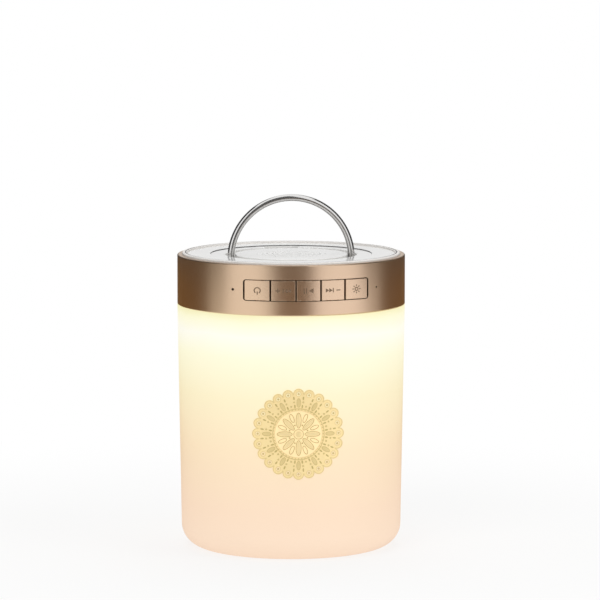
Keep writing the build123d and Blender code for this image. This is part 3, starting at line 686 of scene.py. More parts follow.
@dataclass(frozen=True)
class Moulded(Finish):
    """Moulded plastic, rubber, paper or ceramic: one colour with a fine grain."""

    name: str
    tint: Colour
    roughness: float = 0.5
    deep_share: float = 0.84
    grain_scale: float = 1600.0
    grain_depth: float = 0.02 * MM
    grain_swing: float = 0.16
    cloud_scale: float = 70.0
    cloud_share: float = 0.6
    coat: float = 0.0
    # Painted shade: an optional dark line where the surface lies in shade, such as beside a lip.
    shade_line: Optional[ShadeLine] = None

    def surface(self, graph: Graph) -> Signal:
        """Slightly mottled colour with a grained surface.

        Args:
            graph: The empty tree of the finish.

        Returns:
            Its shader.
        """
        place = graph.place()
        grain = graph.noise(place, self.grain_scale, self.grain_detail)
        cloud = graph.noise(place, self.cloud_scale)
        mottle = cloud * self.cloud_share + grain * (1.0 - self.cloud_share)
        colour = graph.mix(mottle, scaled(self.tint, self.deep_share), self.tint)
        return graph.shader(
            base_color=self.shade_line.over(graph, place, colour) if self.shade_line else colour,
            roughness=self.roughness + grain.swing(self.grain_swing),
            normal=graph.bump(grain, self.grain_depth),
            coat_weight=self.coat,
        )


@dataclass(frozen=True)
class TurnedMetal(Finish):
    """Plain machined metal with fine rings about the lamp's axis."""

    name: str
    tint: Colour
    roughness: float = 0.32
    deep_share: float = 0.8
    ring_pitch: float = 0.22 * MM
    ring_depth: float = 0.002 * MM
    ring_roughness: float = 0.08
    stain_scale: float = 420.0
    stain_swing: float = 0.1

    def surface(self, graph: Graph) -> Signal:
        """Metal with turned rings and light stains.

        Args:
            graph: The empty tree of the finish.

        Returns:
            Its shader.
        """
        place = graph.place()
        across, along, _ = graph.axes(place)
        rings = across.diagonal(along).wave(self.ring_pitch).raised()
        stain = graph.noise(place, self.stain_scale, self.stain_detail)
        turned = self.roughness + rings * self.ring_roughness
        return graph.shader(
            base_color=graph.mix(stain, scaled(self.tint, self.deep_share), self.tint),
            metallic=1.0,
            roughness=turned + stain.swing(self.stain_swing),
            normal=graph.bump(rings, self.ring_depth),
        )


@dataclass(frozen=True)
class BoardLaminate(Finish):
    """Circuit board under a coloured mask, with the copper traces showing faintly."""

    name: str
    mask: Colour
    trace: Colour
    trace_scale: float = 260.0
    trace_reach: float = 0.07
    trace_rise: float = 0.6
    weave_scale: float = 2400.0
    weave_rise: float = 0.2
    weave_roughness: float = 0.1
    depth: float = 0.02 * MM
    roughness: float = 0.32
    coat: float = 0.3

    def surface(self, graph: Graph) -> Signal:
        """Glossy mask over cells whose borders stand for traces.

        Args:
            graph: The empty tree of the finish.

        Returns:
            Its shader.
        """
        place = graph.place()
        inputs = {"Vector": place, "Scale": self.trace_scale}
        settings = {"feature": "DISTANCE_TO_EDGE"}
        cells = graph.add("ShaderNodeTexVoronoi", settings, inputs, "Distance")
        line = cells.maths("LESS_THAN", self.trace_reach)
        weave = graph.noise(place, self.weave_scale)
        return graph.shader(
            base_color=graph.mix(line, self.mask, self.trace),
            roughness=self.roughness + weave * self.weave_roughness,
            normal=graph.bump(line * self.trace_rise + weave * self.weave_rise, self.depth),
            coat_weight=self.coat,
        )


@dataclass(frozen=True)
class WovenCloth(Finish):
    """Treated cloth of the speaker's spider."""

    name: str = "spider_cloth"
    tint: Colour = (0.47, 0.27, 0.075)
    deep_share: float = 0.6
    thread_pitch: float = 0.6 * MM
    thread_depth: float = 0.06 * MM
    roughness: float = 0.7
    thread_roughness: float = 0.15

    def surface(self, graph: Graph) -> Signal:
        """Two crossed sets of threads.

        Args:
            graph: The empty tree of the finish.

        Returns:
            Its shader.
        """
        across, along, _ = graph.axes(graph.place())
        weave = (across.wave(self.thread_pitch) * along.wave(self.thread_pitch)).raised()
        return graph.shader(
            base_color=graph.mix(weave, scaled(self.tint, self.deep_share), self.tint),
            roughness=self.roughness + weave * self.thread_roughness,
            normal=graph.bump(weave, self.thread_depth),
        )


@dataclass(frozen=True)
class WoundCopper(Finish):
    """Enamelled copper winding: close turns stacked along the axis."""

    name: str = "coil_copper"
    tint: Colour = (0.48, 0.16, 0.05)
    deep_share: float = 0.6
    wire_pitch: float = 0.16 * MM
    wire_depth: float = 0.04 * MM
    roughness: float = 0.3
    wire_roughness: float = 0.1

    def surface(self, graph: Graph) -> Signal:
        """Metal with a rounded ridge for each turn.

        Args:
            graph: The empty tree of the finish.

        Returns:
            Its shader.
        """
        turns = graph.axes(graph.place())[2].wave(self.wire_pitch).raised()
        return graph.shader(
            base_color=graph.mix(turns, scaled(self.tint, self.deep_share), self.tint),
            metallic=1.0,
            roughness=self.roughness + turns * self.wire_roughness,
            normal=graph.bump(turns, self.wire_depth),
        )


FINISHES: dict[str, Finish] = {
    finish.name: finish
    for finish in (
        FrostedGlow(),
        GoldRelief(),
        SatinMetal("champagne_metal"),
        SatinMetal("champagne_button", roughness=0.29),
        # The cover's recess wall is darkened by a painted shade line.
        GlossWhite("white_gloss", shade_line=ShadeLine(39.0 * MM, 0.35 * MM, 141.7 * MM, 0.5 * MM)),
        GlossWhite("white_grille", tint=(0.88, 0.88, 0.87), roughness=0.06),
        Moulded(
            "pale_lip",
            (0.90, 0.87, 0.835),
            grain_scale=2400.0,
            grain_depth=0.012 * MM,
            # A painted shadow line on the lip's top, beside the cover's rim.
            shade_line=ShadeLine(51.0 * MM, 0.3 * MM, 143.0 * MM, 0.1 * MM),
        ),
        PolishedSteel(),
        TurnedMetal("plain_steel", (0.50, 0.50, 0.51)),
        TurnedMetal("can_aluminium", (0.60, 0.60, 0.61), roughness=0.26),
        Moulded("inner_plastic", (0.74, 0.74, 0.72), roughness=0.48),
        Moulded(
            "black_frame",
            (0.022, 0.022, 0.022),
            roughness=0.4,
            grain_scale=2200.0,
            grain_depth=0.01 * MM,
            coat=0.2,
        ),
        Moulded(
            "ferrite",
            (0.035, 0.035, 0.038),
            roughness=0.62,
            grain_scale=900.0,
            grain_depth=0.05 * MM,
        ),
        Moulded(
            "cone_paper",
            (0.018, 0.018, 0.018),
            roughness=0.82,
            grain_scale=700.0,
            grain_depth=0.08 * MM,
        ),
        WoundCopper(),
        Moulded(
            "black_rubber",
            (0.012, 0.012, 0.012),
            roughness=0.7,
            grain_scale=1400.0,
            grain_depth=0.03 * MM,
        ),
        WovenCloth(),
        BoardLaminate("circuit_board", (0.012, 0.10, 0.035), (0.03, 0.19, 0.07)),
        BoardLaminate("lamp_board", (0.78, 0.78, 0.76), (0.70, 0.70, 0.68), trace_scale=120.0),
        Moulded(
            "lamp_chip",
            (0.86, 0.60, 0.12),
            roughness=0.25,
            grain_scale=1200.0,
            grain_depth=0.01 * MM,
            coat=0.6,
        ),
        Moulded("black_moulding", (0.022, 0.012, 0.006)),
        Moulded("connector_white", (0.76, 0.73, 0.63), roughness=0.38),
        Moulded(
            "battery_wrap",
            (0.03, 0.09, 0.27),
            roughness=0.26,
            grain_scale=500.0,
            grain_depth=0.03 * MM,
            coat=0.5,
        ),
        Moulded("lead_cover", (0.32, 0.01, 0.008), roughness=0.45, grain_scale=1800.0),
        Moulded(
            "indicator_lens",
            (0.06, 0.045, 0.035),
            roughness=0.2,
            grain_scale=600.0,
            grain_depth=0.004 * MM,
            coat=0.3,
        ),
        MarkInk(),
    )
}


@dataclass
class TurnedSkin:
    """Mesh of surfaces turned about the lamp's axis, which takes the normals of its true surfaces.

    A corner's normal keeps the slope of the faces round it that lean alike, and points straight out
    from the axis at its own vertex. Faces that aren't turned about the axis stay flat.
    """

    mesh: bpy.types.Mesh
    blend_angle: float = math.radians(30)
    sideways_limit: float = 0.12
    axis_gap: float = 1e-6

    def slope(self, face: bpy.types.MeshPolygon) -> Optional[Point]:
        """Slope of a face that is turned about the axis.

        Args:
            face: A face of the mesh.

        Returns:
            How far it leans outwards and upwards, or nothing where it leans sideways.
        """
        outward = Vector((face.center.x, face.center.y, 0)).normalized()
        sideways = face.normal.dot(Vector((-outward.y, outward.x, 0)))
        turned = abs(sideways) < self.sideways_limit
        return (face.normal.dot(outward), face.normal.z) if turned else None

    def smooth(self) -> None:
        """Set the normal of every corner."""
        faces = self.mesh.polygons
        slopes = [self.slope(face) for face in faces]
        around: list[list[int]] = [[] for _ in self.mesh.vertices]
        for face in faces:
            for vertex in face.vertices:
                around[vertex].append(face.index)
        near = math.cos(self.blend_angle)
        normals: list[Vector] = []
        for face in faces:
            own = slopes[face.index]
            for vertex in face.vertices:
                place = self.mesh.vertices[vertex].co
                reach = math.hypot(place.x, place.y)
                if own is None or reach < self.axis_gap:
                    normals.append(face.normal.copy())
                    continue
                lean = rise = 0.0
                for other in around[vertex]:
                    slope = slopes[other]
                    if slope and slope[0] * own[0] + slope[1] * own[1] > near:
                        lean += slope[0] * faces[other].area
                        rise += slope[1] * faces[other].area
                normal = Vector((lean * place.x / reach, lean * place.y / reach, rise))
                normals.append(normal.normalized())
        faces.foreach_set("use_smooth", [True] * len(faces))
        self.mesh.normals_split_custom_set(normals)


@dataclass
class Assembly:
    """Group of pieces that is built and dressed together."""

    merge_gap: ClassVar[float] = 1e-6

    def build(self) -> None:
        """Make and dress every piece of the group."""
        raise NotImplementedError

    def slot_of(self, node: str) -> str:
        """The record's material slot of a CAD node."""
        rows = frame["record"]["subparts"]
        return next(row["material_slot"] for row in rows if row["node"] == node)

    def dress(self, piece: bpy.types.Object, finish: str) -> None:
        """Give a piece one finish on all its faces."""
        piece.data.materials.clear()
        piece.data.materials.append(FINISHES[finish].material())

    def keep(self, node: str) -> None:
        """Show a CAD node as it is, in the finish of its slot."""
        self.dress(frame["nodes"][node], self.slot_of(node))
        LOG.info("%s: CAD shape, finish %s", node, self.slot_of(node))

    def refine(self, node: str) -> None:
        """Show a merged copy of a CAD node in its place, riding on the node's body."""
        piece = self.show(self.merged(node), frame["nodes"][node]["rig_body"], self.slot_of(node))
        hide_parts(node)

    def merged(self, node: str) -> bpy.types.Mesh:
        """Copy a CAD node's mesh, with its seams closed and the normals of its true surfaces.

        Args:
            node: The node to copy.

        Returns:
            The new mesh.
        """
        work = bmesh.new()
        work.from_mesh(frame["nodes"][node].data)
        bmesh.ops.remove_doubles(work, verts=work.verts, dist=self.merge_gap)
        mesh = mesh_from(work, f"{node}_skin")
        TurnedSkin(mesh).smooth()
        return mesh

    def show(
        self, mesh: bpy.types.Mesh, body: str, slot: str, finish: str = ""
    ) -> bpy.types.Object:
        """Put a finished mesh in the scene.

        Args:
            mesh: The piece's mesh, in place.
            body: The CAD body that it rides on, or nothing for a piece on no body.
            slot: The record's material slot.
            finish: The finish, where it isn't the slot's own.

        Returns:
            The new piece.
        """
        piece = put(mesh.name, mesh)
        self.dress(piece, finish or slot)
        if body:
            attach(piece, body)
        LOG.info("%s: %d faces, rides on %s", mesh.name, len(mesh.polygons), body or "two bodies")
        return piece


class Tree(Graph):
    """Geometry Nodes group with named inputs, turned into a plain mesh when it is done."""

    def __init__(self, name: str, sizes: dict[str, float]) -> None:
        """Start a group whose inputs are named sizes.

        Args:
            name: Name of the group and of the mesh that it makes.
            sizes: Input names with their values, in metres or radians.
        """
        group = bpy.data.node_groups.new(name, "GeometryNodeTree")
        super().__init__(group)
        self.name = name
        self.sizes = sizes
        for label in sizes:
            group.interface.new_socket(label, in_out="INPUT", socket_type="NodeSocketFloat")
        group.interface.new_socket("Geometry", in_out="OUTPUT", socket_type="NodeSocketGeometry")
        self.entry = self.add("NodeGroupInput")

    def size(self, label: str) -> Signal:
        """Signal of a named input."""
        return self.entry.output(label)

    def join(self, parts: Sequence[Signal]) -> Signal:
        """Join several geometries.

        Args:
            parts: The geometries.

        Returns:
            One geometry.
        """
        joined = self.add("GeometryNodeJoinGeometry")
        for part in parts:
            self.tree.links.new(part.socket, joined.socket.node.inputs[0])
        return joined

    def vector_of(self, x: Value, y: Value, z: Value) -> Signal:
        """Vector from three values."""
        return self.add("ShaderNodeCombineXYZ", None, {0: x, 1: y, 2: z})

    def place_of_points(self) -> tuple[Signal, Signal, Signal]:
        """The x, y and z of each point."""
        return self.axes(self.add("GeometryNodeInputPosition"))

    def circle(self, steps: int, radius: Value) -> Signal:
        """Closed round curve."""
        inputs = {"Resolution": steps, "Radius": radius}
        return self.add("GeometryNodeCurvePrimitiveCircle", None, inputs)

    def arc(self, steps: int, radius: Value, start: float, sweep: float) -> Signal:
        """Open round curve between two angles, in radians."""
        inputs = {"Resolution": steps, "Radius": radius, "Start Angle": start, "Sweep Angle": sweep}
        return self.add("GeometryNodeCurveArc", None, inputs)

    def ball(self, segments: int, rings: int, radius: Value) -> Signal:
        """Round ball about the origin."""
        inputs = {"Segments": segments, "Rings": rings, "Radius": radius}
        return self.add("GeometryNodeMeshUVSphere", None, inputs)

    def points(self, count: int, radius: Value) -> Signal:
        """Points spread evenly over a circle."""
        return self.add("GeometryNodeMeshCircle", None, {"Vertices": count, "Radius": radius})

    def tube(self, curve: Signal, radius: Value, sides: int, capped: bool = False) -> Signal:
        """Round wire along a curve, with closed ends where it is capped."""
        inputs = {"Curve": curve, "Profile Curve": self.circle(sides, radius), "Fill Caps": capped}
        return self.add("GeometryNodeCurveToMesh", None, inputs)

    def move(self, geometry: Signal, **inputs: Input) -> Signal:
        """Geometry moved, turned or scaled by a translation, a rotation or a scale."""
        named = {label.title(): value for label, value in inputs.items()}
        return self.add("GeometryNodeTransform", None, {"Geometry": geometry, **named})

    def finish(self, geometry: Signal, material: bpy.types.Material) -> bpy.types.Mesh:
        """Close the group, run it and keep its mesh only.

        Args:
            geometry: The whole geometry.
            material: The material that it takes.

        Returns:
            A plain mesh with no modifier behind it.
        """
        real = self.add("GeometryNodeRealizeInstances", None, {0: geometry})
        smooth = self.add("GeometryNodeSetShadeSmooth", None, {"Geometry": real})
        dressing = {"Geometry": smooth, "Material": material}
        painted = self.add("GeometryNodeSetMaterial", None, dressing)
        self.add("NodeGroupOutput", None, {"Geometry": painted})
        holder = put(f"{self.name}_maker", bpy.data.meshes.new(f"{self.name}_seed"))
        modifier = holder.modifiers.new(self.name, "NODES")
        modifier.node_group = self.tree
        for item in self.tree.interface.items_tree:
            if item.in_out == "INPUT":
                modifier[item.identifier] = self.sizes[item.name]
        graph = bpy.context.evaluated_depsgraph_get()
        mesh = bpy.data.meshes.new_from_object(holder.evaluated_get(graph), depsgraph=graph)
        mesh.name = self.name
        holder.modifiers.remove(modifier)
        bpy.data.objects.remove(holder)
        return mesh


class Shape(Enum):
    """Shapes of the plaque's motifs."""

    SCALLOP = auto()
    BEAD = auto()
    DROP = auto()
    HOOP = auto()
    OVAL = auto()


@dataclass(frozen=True)
class Motif:
    """Motif of the plaque, and how it stands round the plaque's centre.

    The size is a radius, or the length of a drop or an oval. The breadth is the width of these, how
    round a bead is, or the gauge of a scallop's or a hoop's wire. The tone is 0 for light and 1 for
    dark. A motif without a circle stands once, at the centre.
    """

    shape: Shape
    size: float
    breadth: float
    tone: float
    count: int = 1
    circle: float = 0.0
    start: float = 0.0


@dataclass
class Shade(Assembly):
    """Frosted shade and the gold plaque on it, with a relief that is bent onto the taper."""

    height: float = SHADE_HEIGHT
    taper: float = 2.0 * MM
    end_radius: float = 53.0 * MM
    plaque_height: float = PLAQUE_HEIGHT
    plaque_turn: float = math.radians(-4.9)
    plaque_rise: float = 0.35 * MM
    wire: float = 0.2 * MM
    wire_sides: int = 6
    oval_gauge: float = 0.8
    drop_share: float = 0.8
    scallop_sweep: float = math.radians(200)
    scallop_steps: int = 14
    bead_sides: int = 12
    drop_sides: int = 20
    pad_rings: int = 6
    oval_steps: int = 28
    hoop_steps: int = 20
    large_hoop: float = 5.0 * MM
    large_hoop_steps: int = 96
    motifs: tuple[Motif, ...] = (
        Motif(Shape.SCALLOP, 2.4 * MM, 1.1, 0.3, 24, 19.2 * MM),
        Motif(Shape.BEAD, 0.55 * MM, 0.3, 0.6, 24, 19.2 * MM),
        Motif(Shape.HOOP, 1.155 * MM, 0.7, 0.3, 24, 19.2 * MM),
        Motif(Shape.DROP, 4.2 * MM, 1.8 * MM, 0.38, 12, 15.0 * MM),
        Motif(Shape.OVAL, 4.2 * MM, 1.8 * MM, 0.6, 12, 15.0 * MM),
        Motif(Shape.BEAD, 0.5 * MM, 0.5, 0.55, 12, 13.6 * MM, math.pi / 12),
        Motif(Shape.BEAD, 0.5 * MM, 0.5, 0.55, 12, 15.4 * MM, math.pi / 12 + 0.12),
        Motif(Shape.BEAD, 0.5 * MM, 0.5, 0.55, 12, 15.4 * MM, math.pi / 12 - 0.12),
        Motif(Shape.DROP, 1.7 * MM, 0.75 * MM, 0.8, 24, 17.3 * MM, math.pi / 24),
        Motif(Shape.DROP, 1.7 * MM, 0.75 * MM, 0.8, 24, 13.4 * MM, math.pi / 24),
        Motif(Shape.HOOP, 12.2 * MM, 1.1, 0.5),
        Motif(Shape.HOOP, 11.3 * MM, 0.8, 0.3),
        Motif(Shape.BEAD, 0.26 * MM, 0.9, 0.6, 48, 11.75 * MM),
        Motif(Shape.DROP, 6.4 * MM, 1.6 * MM, 0.3, 8, 6.6 * MM),
        Motif(Shape.OVAL, 7.168 * MM, 2.4 * MM, 0.85, 8, 6.6 * MM),
        Motif(Shape.OVAL, 4.2 * MM, 1.7 * MM, 0.85, 8, 8.2 * MM, math.pi / 8),
        Motif(Shape.BEAD, 0.4 * MM, 0.8, 0.8, 8, 4.6 * MM, math.pi / 8),
        Motif(Shape.HOOP, 2.3 * MM, 0.9, 0.7),
        Motif(Shape.BEAD, 1.5 * MM, 0.35, 0.35),
    )

    def build(self) -> None:
        """Dress the shade and the plaque, and lay the relief on the plaque."""
        self.refine("shade")
        self.keep("medallion")
        self.show(self.relief(), BODY, "gold_plaque")

    def relief(self) -> bpy.types.Mesh:
        """Make the plaque's relief.

        Returns:
            Its mesh, in place on the plaque.
        """
        sizes = {
            "Shade Height": self.height,
            "Shade Taper": self.taper,
            "Shade End Radius": self.end_radius,
            "Plaque Height": self.plaque_height,
            "Plaque Rise": self.plaque_rise,
            "Turn": self.plaque_turn,
            "Wire": self.wire,
        }
        tree = Tree("medallion_relief", sizes)
        flat = tree.join([self.set_round(tree, motif) for motif in self.motifs])
        return tree.finish(self.wrap(tree, flat), FINISHES["gold_plaque"].material())

    def drawn(self, tree: Tree, motif: Motif) -> Signal:
        """Draw one motif about its own centre, with x outwards from the plaque's centre.

        Args:
            tree: The group being built.
            motif: The motif.

        Returns:
            Its geometry.
        """
        size, breadth = motif.size, motif.breadth
        wire = tree.size("Wire")
        match motif.shape:
            case Shape.SCALLOP:
                start = -self.scallop_sweep / 2
                lobe = tree.arc(self.scallop_steps, size, start, self.scallop_sweep)
                return tree.tube(lobe, wire * breadth, self.wire_sides, True)
            case Shape.BEAD:
                ball = tree.ball(self.bead_sides, self.pad_rings, size)
                return tree.move(ball, scale=(1.0, 1.0, breadth))
            case Shape.DROP:
                ball = tree.ball(self.drop_sides, self.pad_rings, 0.5)
                return tree.move(ball, scale=(size, breadth, self.plaque_rise * self.drop_share))
            case Shape.HOOP:
                steps = self.large_hoop_steps if size > self.large_hoop else self.hoop_steps
                return tree.tube(tree.circle(steps, size), wire * breadth, self.wire_sides)
            case Shape.OVAL:
                flat = tree.move(tree.circle(self.oval_steps, 0.5), scale=(size, breadth, 1.0))
                return tree.tube(flat, wire * self.oval_gauge, self.wire_sides)

    def set_round(self, tree: Tree, motif: Motif) -> Signal:
        """Repeat a motif round the plaque's centre, each turned outwards.

        Args:
            tree: The group being built.
            motif: The motif.

        Returns:
            The repeats, which carry the motif's tone as an attribute.
        """
        geometry = self.drawn(tree, motif)
        if motif.circle:
            spots = tree.points(motif.count, motif.circle)
            turned = tree.move(spots, rotation=(0.0, 0.0, motif.start))
            across, along, _ = tree.place_of_points()
            spin = tree.vector_of(0.0, 0.0, along.maths("ARCTAN2", across))
            inputs = {"Points": turned, "Instance": geometry, "Rotation": spin}
            copies = tree.add("GeometryNodeInstanceOnPoints", None, inputs)
            geometry = tree.add("GeometryNodeRealizeInstances", None, {0: copies})
        settings = {"data_type": "FLOAT", "domain": "POINT"}
        inputs = {"Geometry": geometry, "Name": GoldRelief.tone, "Value": motif.tone}
        return tree.add("GeometryNodeStoreNamedAttribute", settings, inputs)

    def wrap(self, tree: Tree, flat: Signal) -> Signal:
        """Lay flat relief on the tapered shade, x along the plaque and z out from it.

        Args:
            tree: The group being built.
            flat: Relief about the plaque's centre.

        Returns:
            The relief in its place on the shade.
        """
        across, along, out = tree.place_of_points()
        level = along + tree.size("Plaque Height")
        slope = tree.size("Shade Taper") / tree.size("Shade Height")
        reach = tree.size("Shade End Radius") + level * slope + tree.size("Plaque Rise") + out
        depth = (reach * reach - across * across).maths("SQRT")
        turned = tree.add(
            "ShaderNodeVectorRotate",
            {"rotation_type": "Z_AXIS"},
            {"Vector": tree.vector_of(across, 0.0 - depth, level), "Angle": tree.size("Turn")},
        )
        inputs = {"Geometry": flat, "Position": turned}
        return tree.add("GeometryNodeSetPosition", None, inputs)


class Symbol(Enum):
    """Symbols of the five buttons, from left to right."""

    POWER = 1
    SKIP_ON = 2
    PLAY = 3
    SKIP_BACK = 4
    LIGHT = 5


@dataclass
class Band(Assembly):
    """Metal band and its row of buttons; the symbols stand on their heads, as the lamp also can."""

    radius: float = 55.0 * MM
    mark_rise: float = 0.03 * MM
    mark_sink: float = 0.05 * MM
    stroke: float = 0.50
    arc_step: float = math.radians(15)
    power_gap: float = math.radians(35)
    ray_count: int = 8
    ray_ends: Point = (1.35, 2.1)

    def build(self) -> None:
        """Dress the band and the button caps, and mark each cap with its symbol."""
        self.refine("band")
        for symbol in Symbol:
            self.refine(f"button_cap_{symbol.value}")
            mark = self.etched(symbol)
            self.show(mark, f"button_{symbol.value}", "champagne_button", "button_mark")

    def drawing(self, symbol: Symbol) -> list[Outline]:
        """Draw a symbol upright, in millimetres about its centre.

        Args:
            symbol: The symbol.

        Returns:
            The outlines that it is made of.
        """
        thick = self.stroke
        match symbol:
            case Symbol.POWER:
                start, sweep = math.pi / 2 + self.power_gap, FULL_TURN - 2 * self.power_gap
                return [self.arc(1.35, start, sweep), self.bar(0.0, 1.2, thick, 1.5)]
            case Symbol.SKIP_ON:
                arrows = [self.arrow(x, 1.7, 2.0) for x in (-3.6, -1.9)]
                plus = [self.bar(2.6, 0.0, 2.0, thick)]
                plus += [self.bar(2.6, z, thick, 0.8) for z in (0.62, -0.62)]
                return [*arrows, self.bar(0.1, 0.0, thick, 2.0), *plus]
            case Symbol.PLAY:
                bars = [self.bar(x, 0.0, thick, 2.4) for x in (1.0, 2.1)]
                return [self.arrow(-2.3, 2.2, 2.4), *bars]
            case Symbol.SKIP_BACK:
                bars = [self.bar(-2.6, 0.0, 2.0, thick), self.bar(-0.1, 0.0, thick, 2.0)]
                return [*bars, *(self.arrow(x, -1.7, 2.0) for x in (1.9, 3.6))]
            case Symbol.LIGHT:
                halves = [self.arc(0.75, start, math.pi) for start in (0.0, math.pi)]
                angles = [FULL_TURN * ray / self.ray_count for ray in range(self.ray_count)]
                return [*halves, *(self.ray(angle) for angle in angles)]

    def bar(self, x: float, z: float, width: float, height: float) -> Outline:
        """Upright rectangle about a point."""
        left, right, low, high = x - width / 2, x + width / 2, z - height / 2, z + height / 2
        return [(left, low), (right, low), (right, high), (left, high)]

    def arrow(self, x: float, length: float, height: float) -> Outline:
        """Triangle that points along its length, which is negative for one that points back."""
        outline = [(x, -height / 2), (x + length, 0.0), (x, height / 2)]
        return outline if length > 0 else outline[::-1]

    def arc(self, radius: float, start: float, sweep: float) -> Outline:
        """Stretch of a ring about the symbol's centre.

        Args:
            radius: Middle radius.
            start: First angle in radians.
            sweep: Angle from the first end to the last.

        Returns:
            The outline, out along its outer side and back along its inner side.
        """
        count = max(2, math.ceil(sweep / self.arc_step))
        angles = [start + sweep * index / count for index in range(count + 1)]
        outer, inner = radius + self.stroke / 2, radius - self.stroke / 2
        out = [(outer * math.cos(angle), outer * math.sin(angle)) for angle in angles]
        back = [(inner * math.cos(angle), inner * math.sin(angle)) for angle in angles]
        return out + back[::-1]

    def ray(self, angle: float) -> Outline:
        """Short stroke that points away from the symbol's centre.

        Args:
            angle: Its direction in radians.

        Returns:
            The outline.
        """
        along = Vector((math.cos(angle), math.sin(angle)))
        side = Vector((-along.y, along.x)) * (self.stroke / 2)
        near, far = (along * end for end in self.ray_ends)
        return [tuple(near - side), tuple(far - side), tuple(far + side), tuple(near + side)]

    def etched(self, symbol: Symbol) -> bpy.types.Mesh:
        """Make a closed thin mesh of a symbol, turned on its head and bent onto the cap's face.

        Args:
            symbol: The symbol, which also names its button.

        Returns:
            The mesh, in place on its cap.
        """
        low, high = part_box(f"button_cap_{symbol.value}")
        centre = (low + high) / 2
        work = bmesh.new()
        for outline in self.drawing(symbol):
            rings = []
            for reach in (self.radius - self.mark_sink, self.radius + self.mark_rise):
                ring = []
                for x, z in outline:
                    place_x = centre.x - x * MM
                    depth = math.sqrt(reach * reach - place_x * place_x)
                    ring.append(work.verts.new((place_x, -depth, centre.z - z * MM)))
                rings.append(ring)
            inner, outer = rings
            work.faces.new(outer)
            work.faces.new(inner[::-1])
            for index, vertex in enumerate(inner):
                following = (index + 1) % len(inner)
                work.faces.new((vertex, inner[following], outer[following], outer[index]))
        bmesh.ops.recalc_face_normals(work, faces=work.faces)
        return mesh_from(work, f"button_mark_{symbol.value}")


@dataclass
class TopCover(Assembly):
    """White cover with its lip, the speaker grille and the rolled rims of the grille's holes."""

    hole_rings: int = 6
    hole_pitch: float = 14.0 / 6 * MM
    holes_per_ring: int = 6
    rim_radius: float = 0.55 * MM
    rim_steps: int = 14
    rim_gauge: float = 0.04 * MM
    rim_sides: int = 5

    def build(self) -> None:
        """Dress the cover, the lip and the grille, and roll the rims of its holes."""
        self.refine("base_cover")
        self.refine("foot_ring")
        self.keep("speaker_grille")
        self.show(self.hole_rims(), BODY, "white_grille")

    def hole_rims(self) -> bpy.types.Mesh:
        """Roll a small rim round each hole of the grille.

        Returns:
            The mesh of all the rims, in place on the grille.
        """
        sizes = {
            "Pitch": self.hole_pitch,
            "Rim": self.rim_radius,
            "Gauge": self.rim_gauge,
            "Level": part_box("speaker_grille")[1].z,
        }
        tree = Tree("grille_rims", sizes)
        spots = [tree.add("GeometryNodeMeshLine", {"mode": "OFFSET"}, {"Count": 1})]
        for ring in range(1, self.hole_rings + 1):
            spots.append(tree.points(ring * self.holes_per_ring, tree.size("Pitch") * ring))
        circle = tree.circle(self.rim_steps, tree.size("Rim"))
        rim = tree.tube(circle, tree.size("Gauge"), self.rim_sides)
        inputs = {"Points": tree.join(spots), "Instance": rim}
        copies = tree.add("GeometryNodeInstanceOnPoints", None, inputs)
        lifted = tree.move(copies, translation=tree.vector_of(0.0, 0.0, tree.size("Level")))
        return tree.finish(lifted, FINISHES["white_grille"].material())


@dataclass
class CarryRing(Assembly):
    """Folding wire half-ring with round ends."""

    wire_radius: float = WIRE_RADIUS
    pivot_height: float = PIVOT_HEIGHT
    steps: int = 128
    sides: int = 28

    def build(self) -> None:
        """Draw the ring as a round wire along a half circle, and set it on its pivots."""
        low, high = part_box("carry_ring")
        sizes = {
            "Ring Radius": (high.x - low.x) / 2 - self.wire_radius,
            "Wire Radius": self.wire_radius,
            "Pivot Height": self.pivot_height,
        }
        tree = Tree("carry_ring_wire", sizes)
        half_circle = tree.arc(self.steps, tree.size("Ring Radius"), 0.0, math.pi)
        parts = [tree.tube(half_circle, tree.size("Wire Radius"), self.sides, True)]
        for side in (-1, 1):
            ball = tree.ball(self.sides, self.sides // 2, tree.size("Wire Radius"))
            end = tree.vector_of(tree.size("Ring Radius") * side, 0.0, 0.0)
            parts.append(tree.move(ball, translation=end))
        standing = tree.move(
            tree.join(parts),
            rotation=(math.pi / 2, 0.0, 0.0),
            translation=tree.vector_of(0.0, 0.0, tree.size("Pivot Height")),
        )
        mesh = tree.finish(standing, FINISHES["bright_wire"].material())
        piece = self.show(mesh, "carry_ring", "bright_wire")
        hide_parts("carry_ring")
        self.keep("ring_pins")


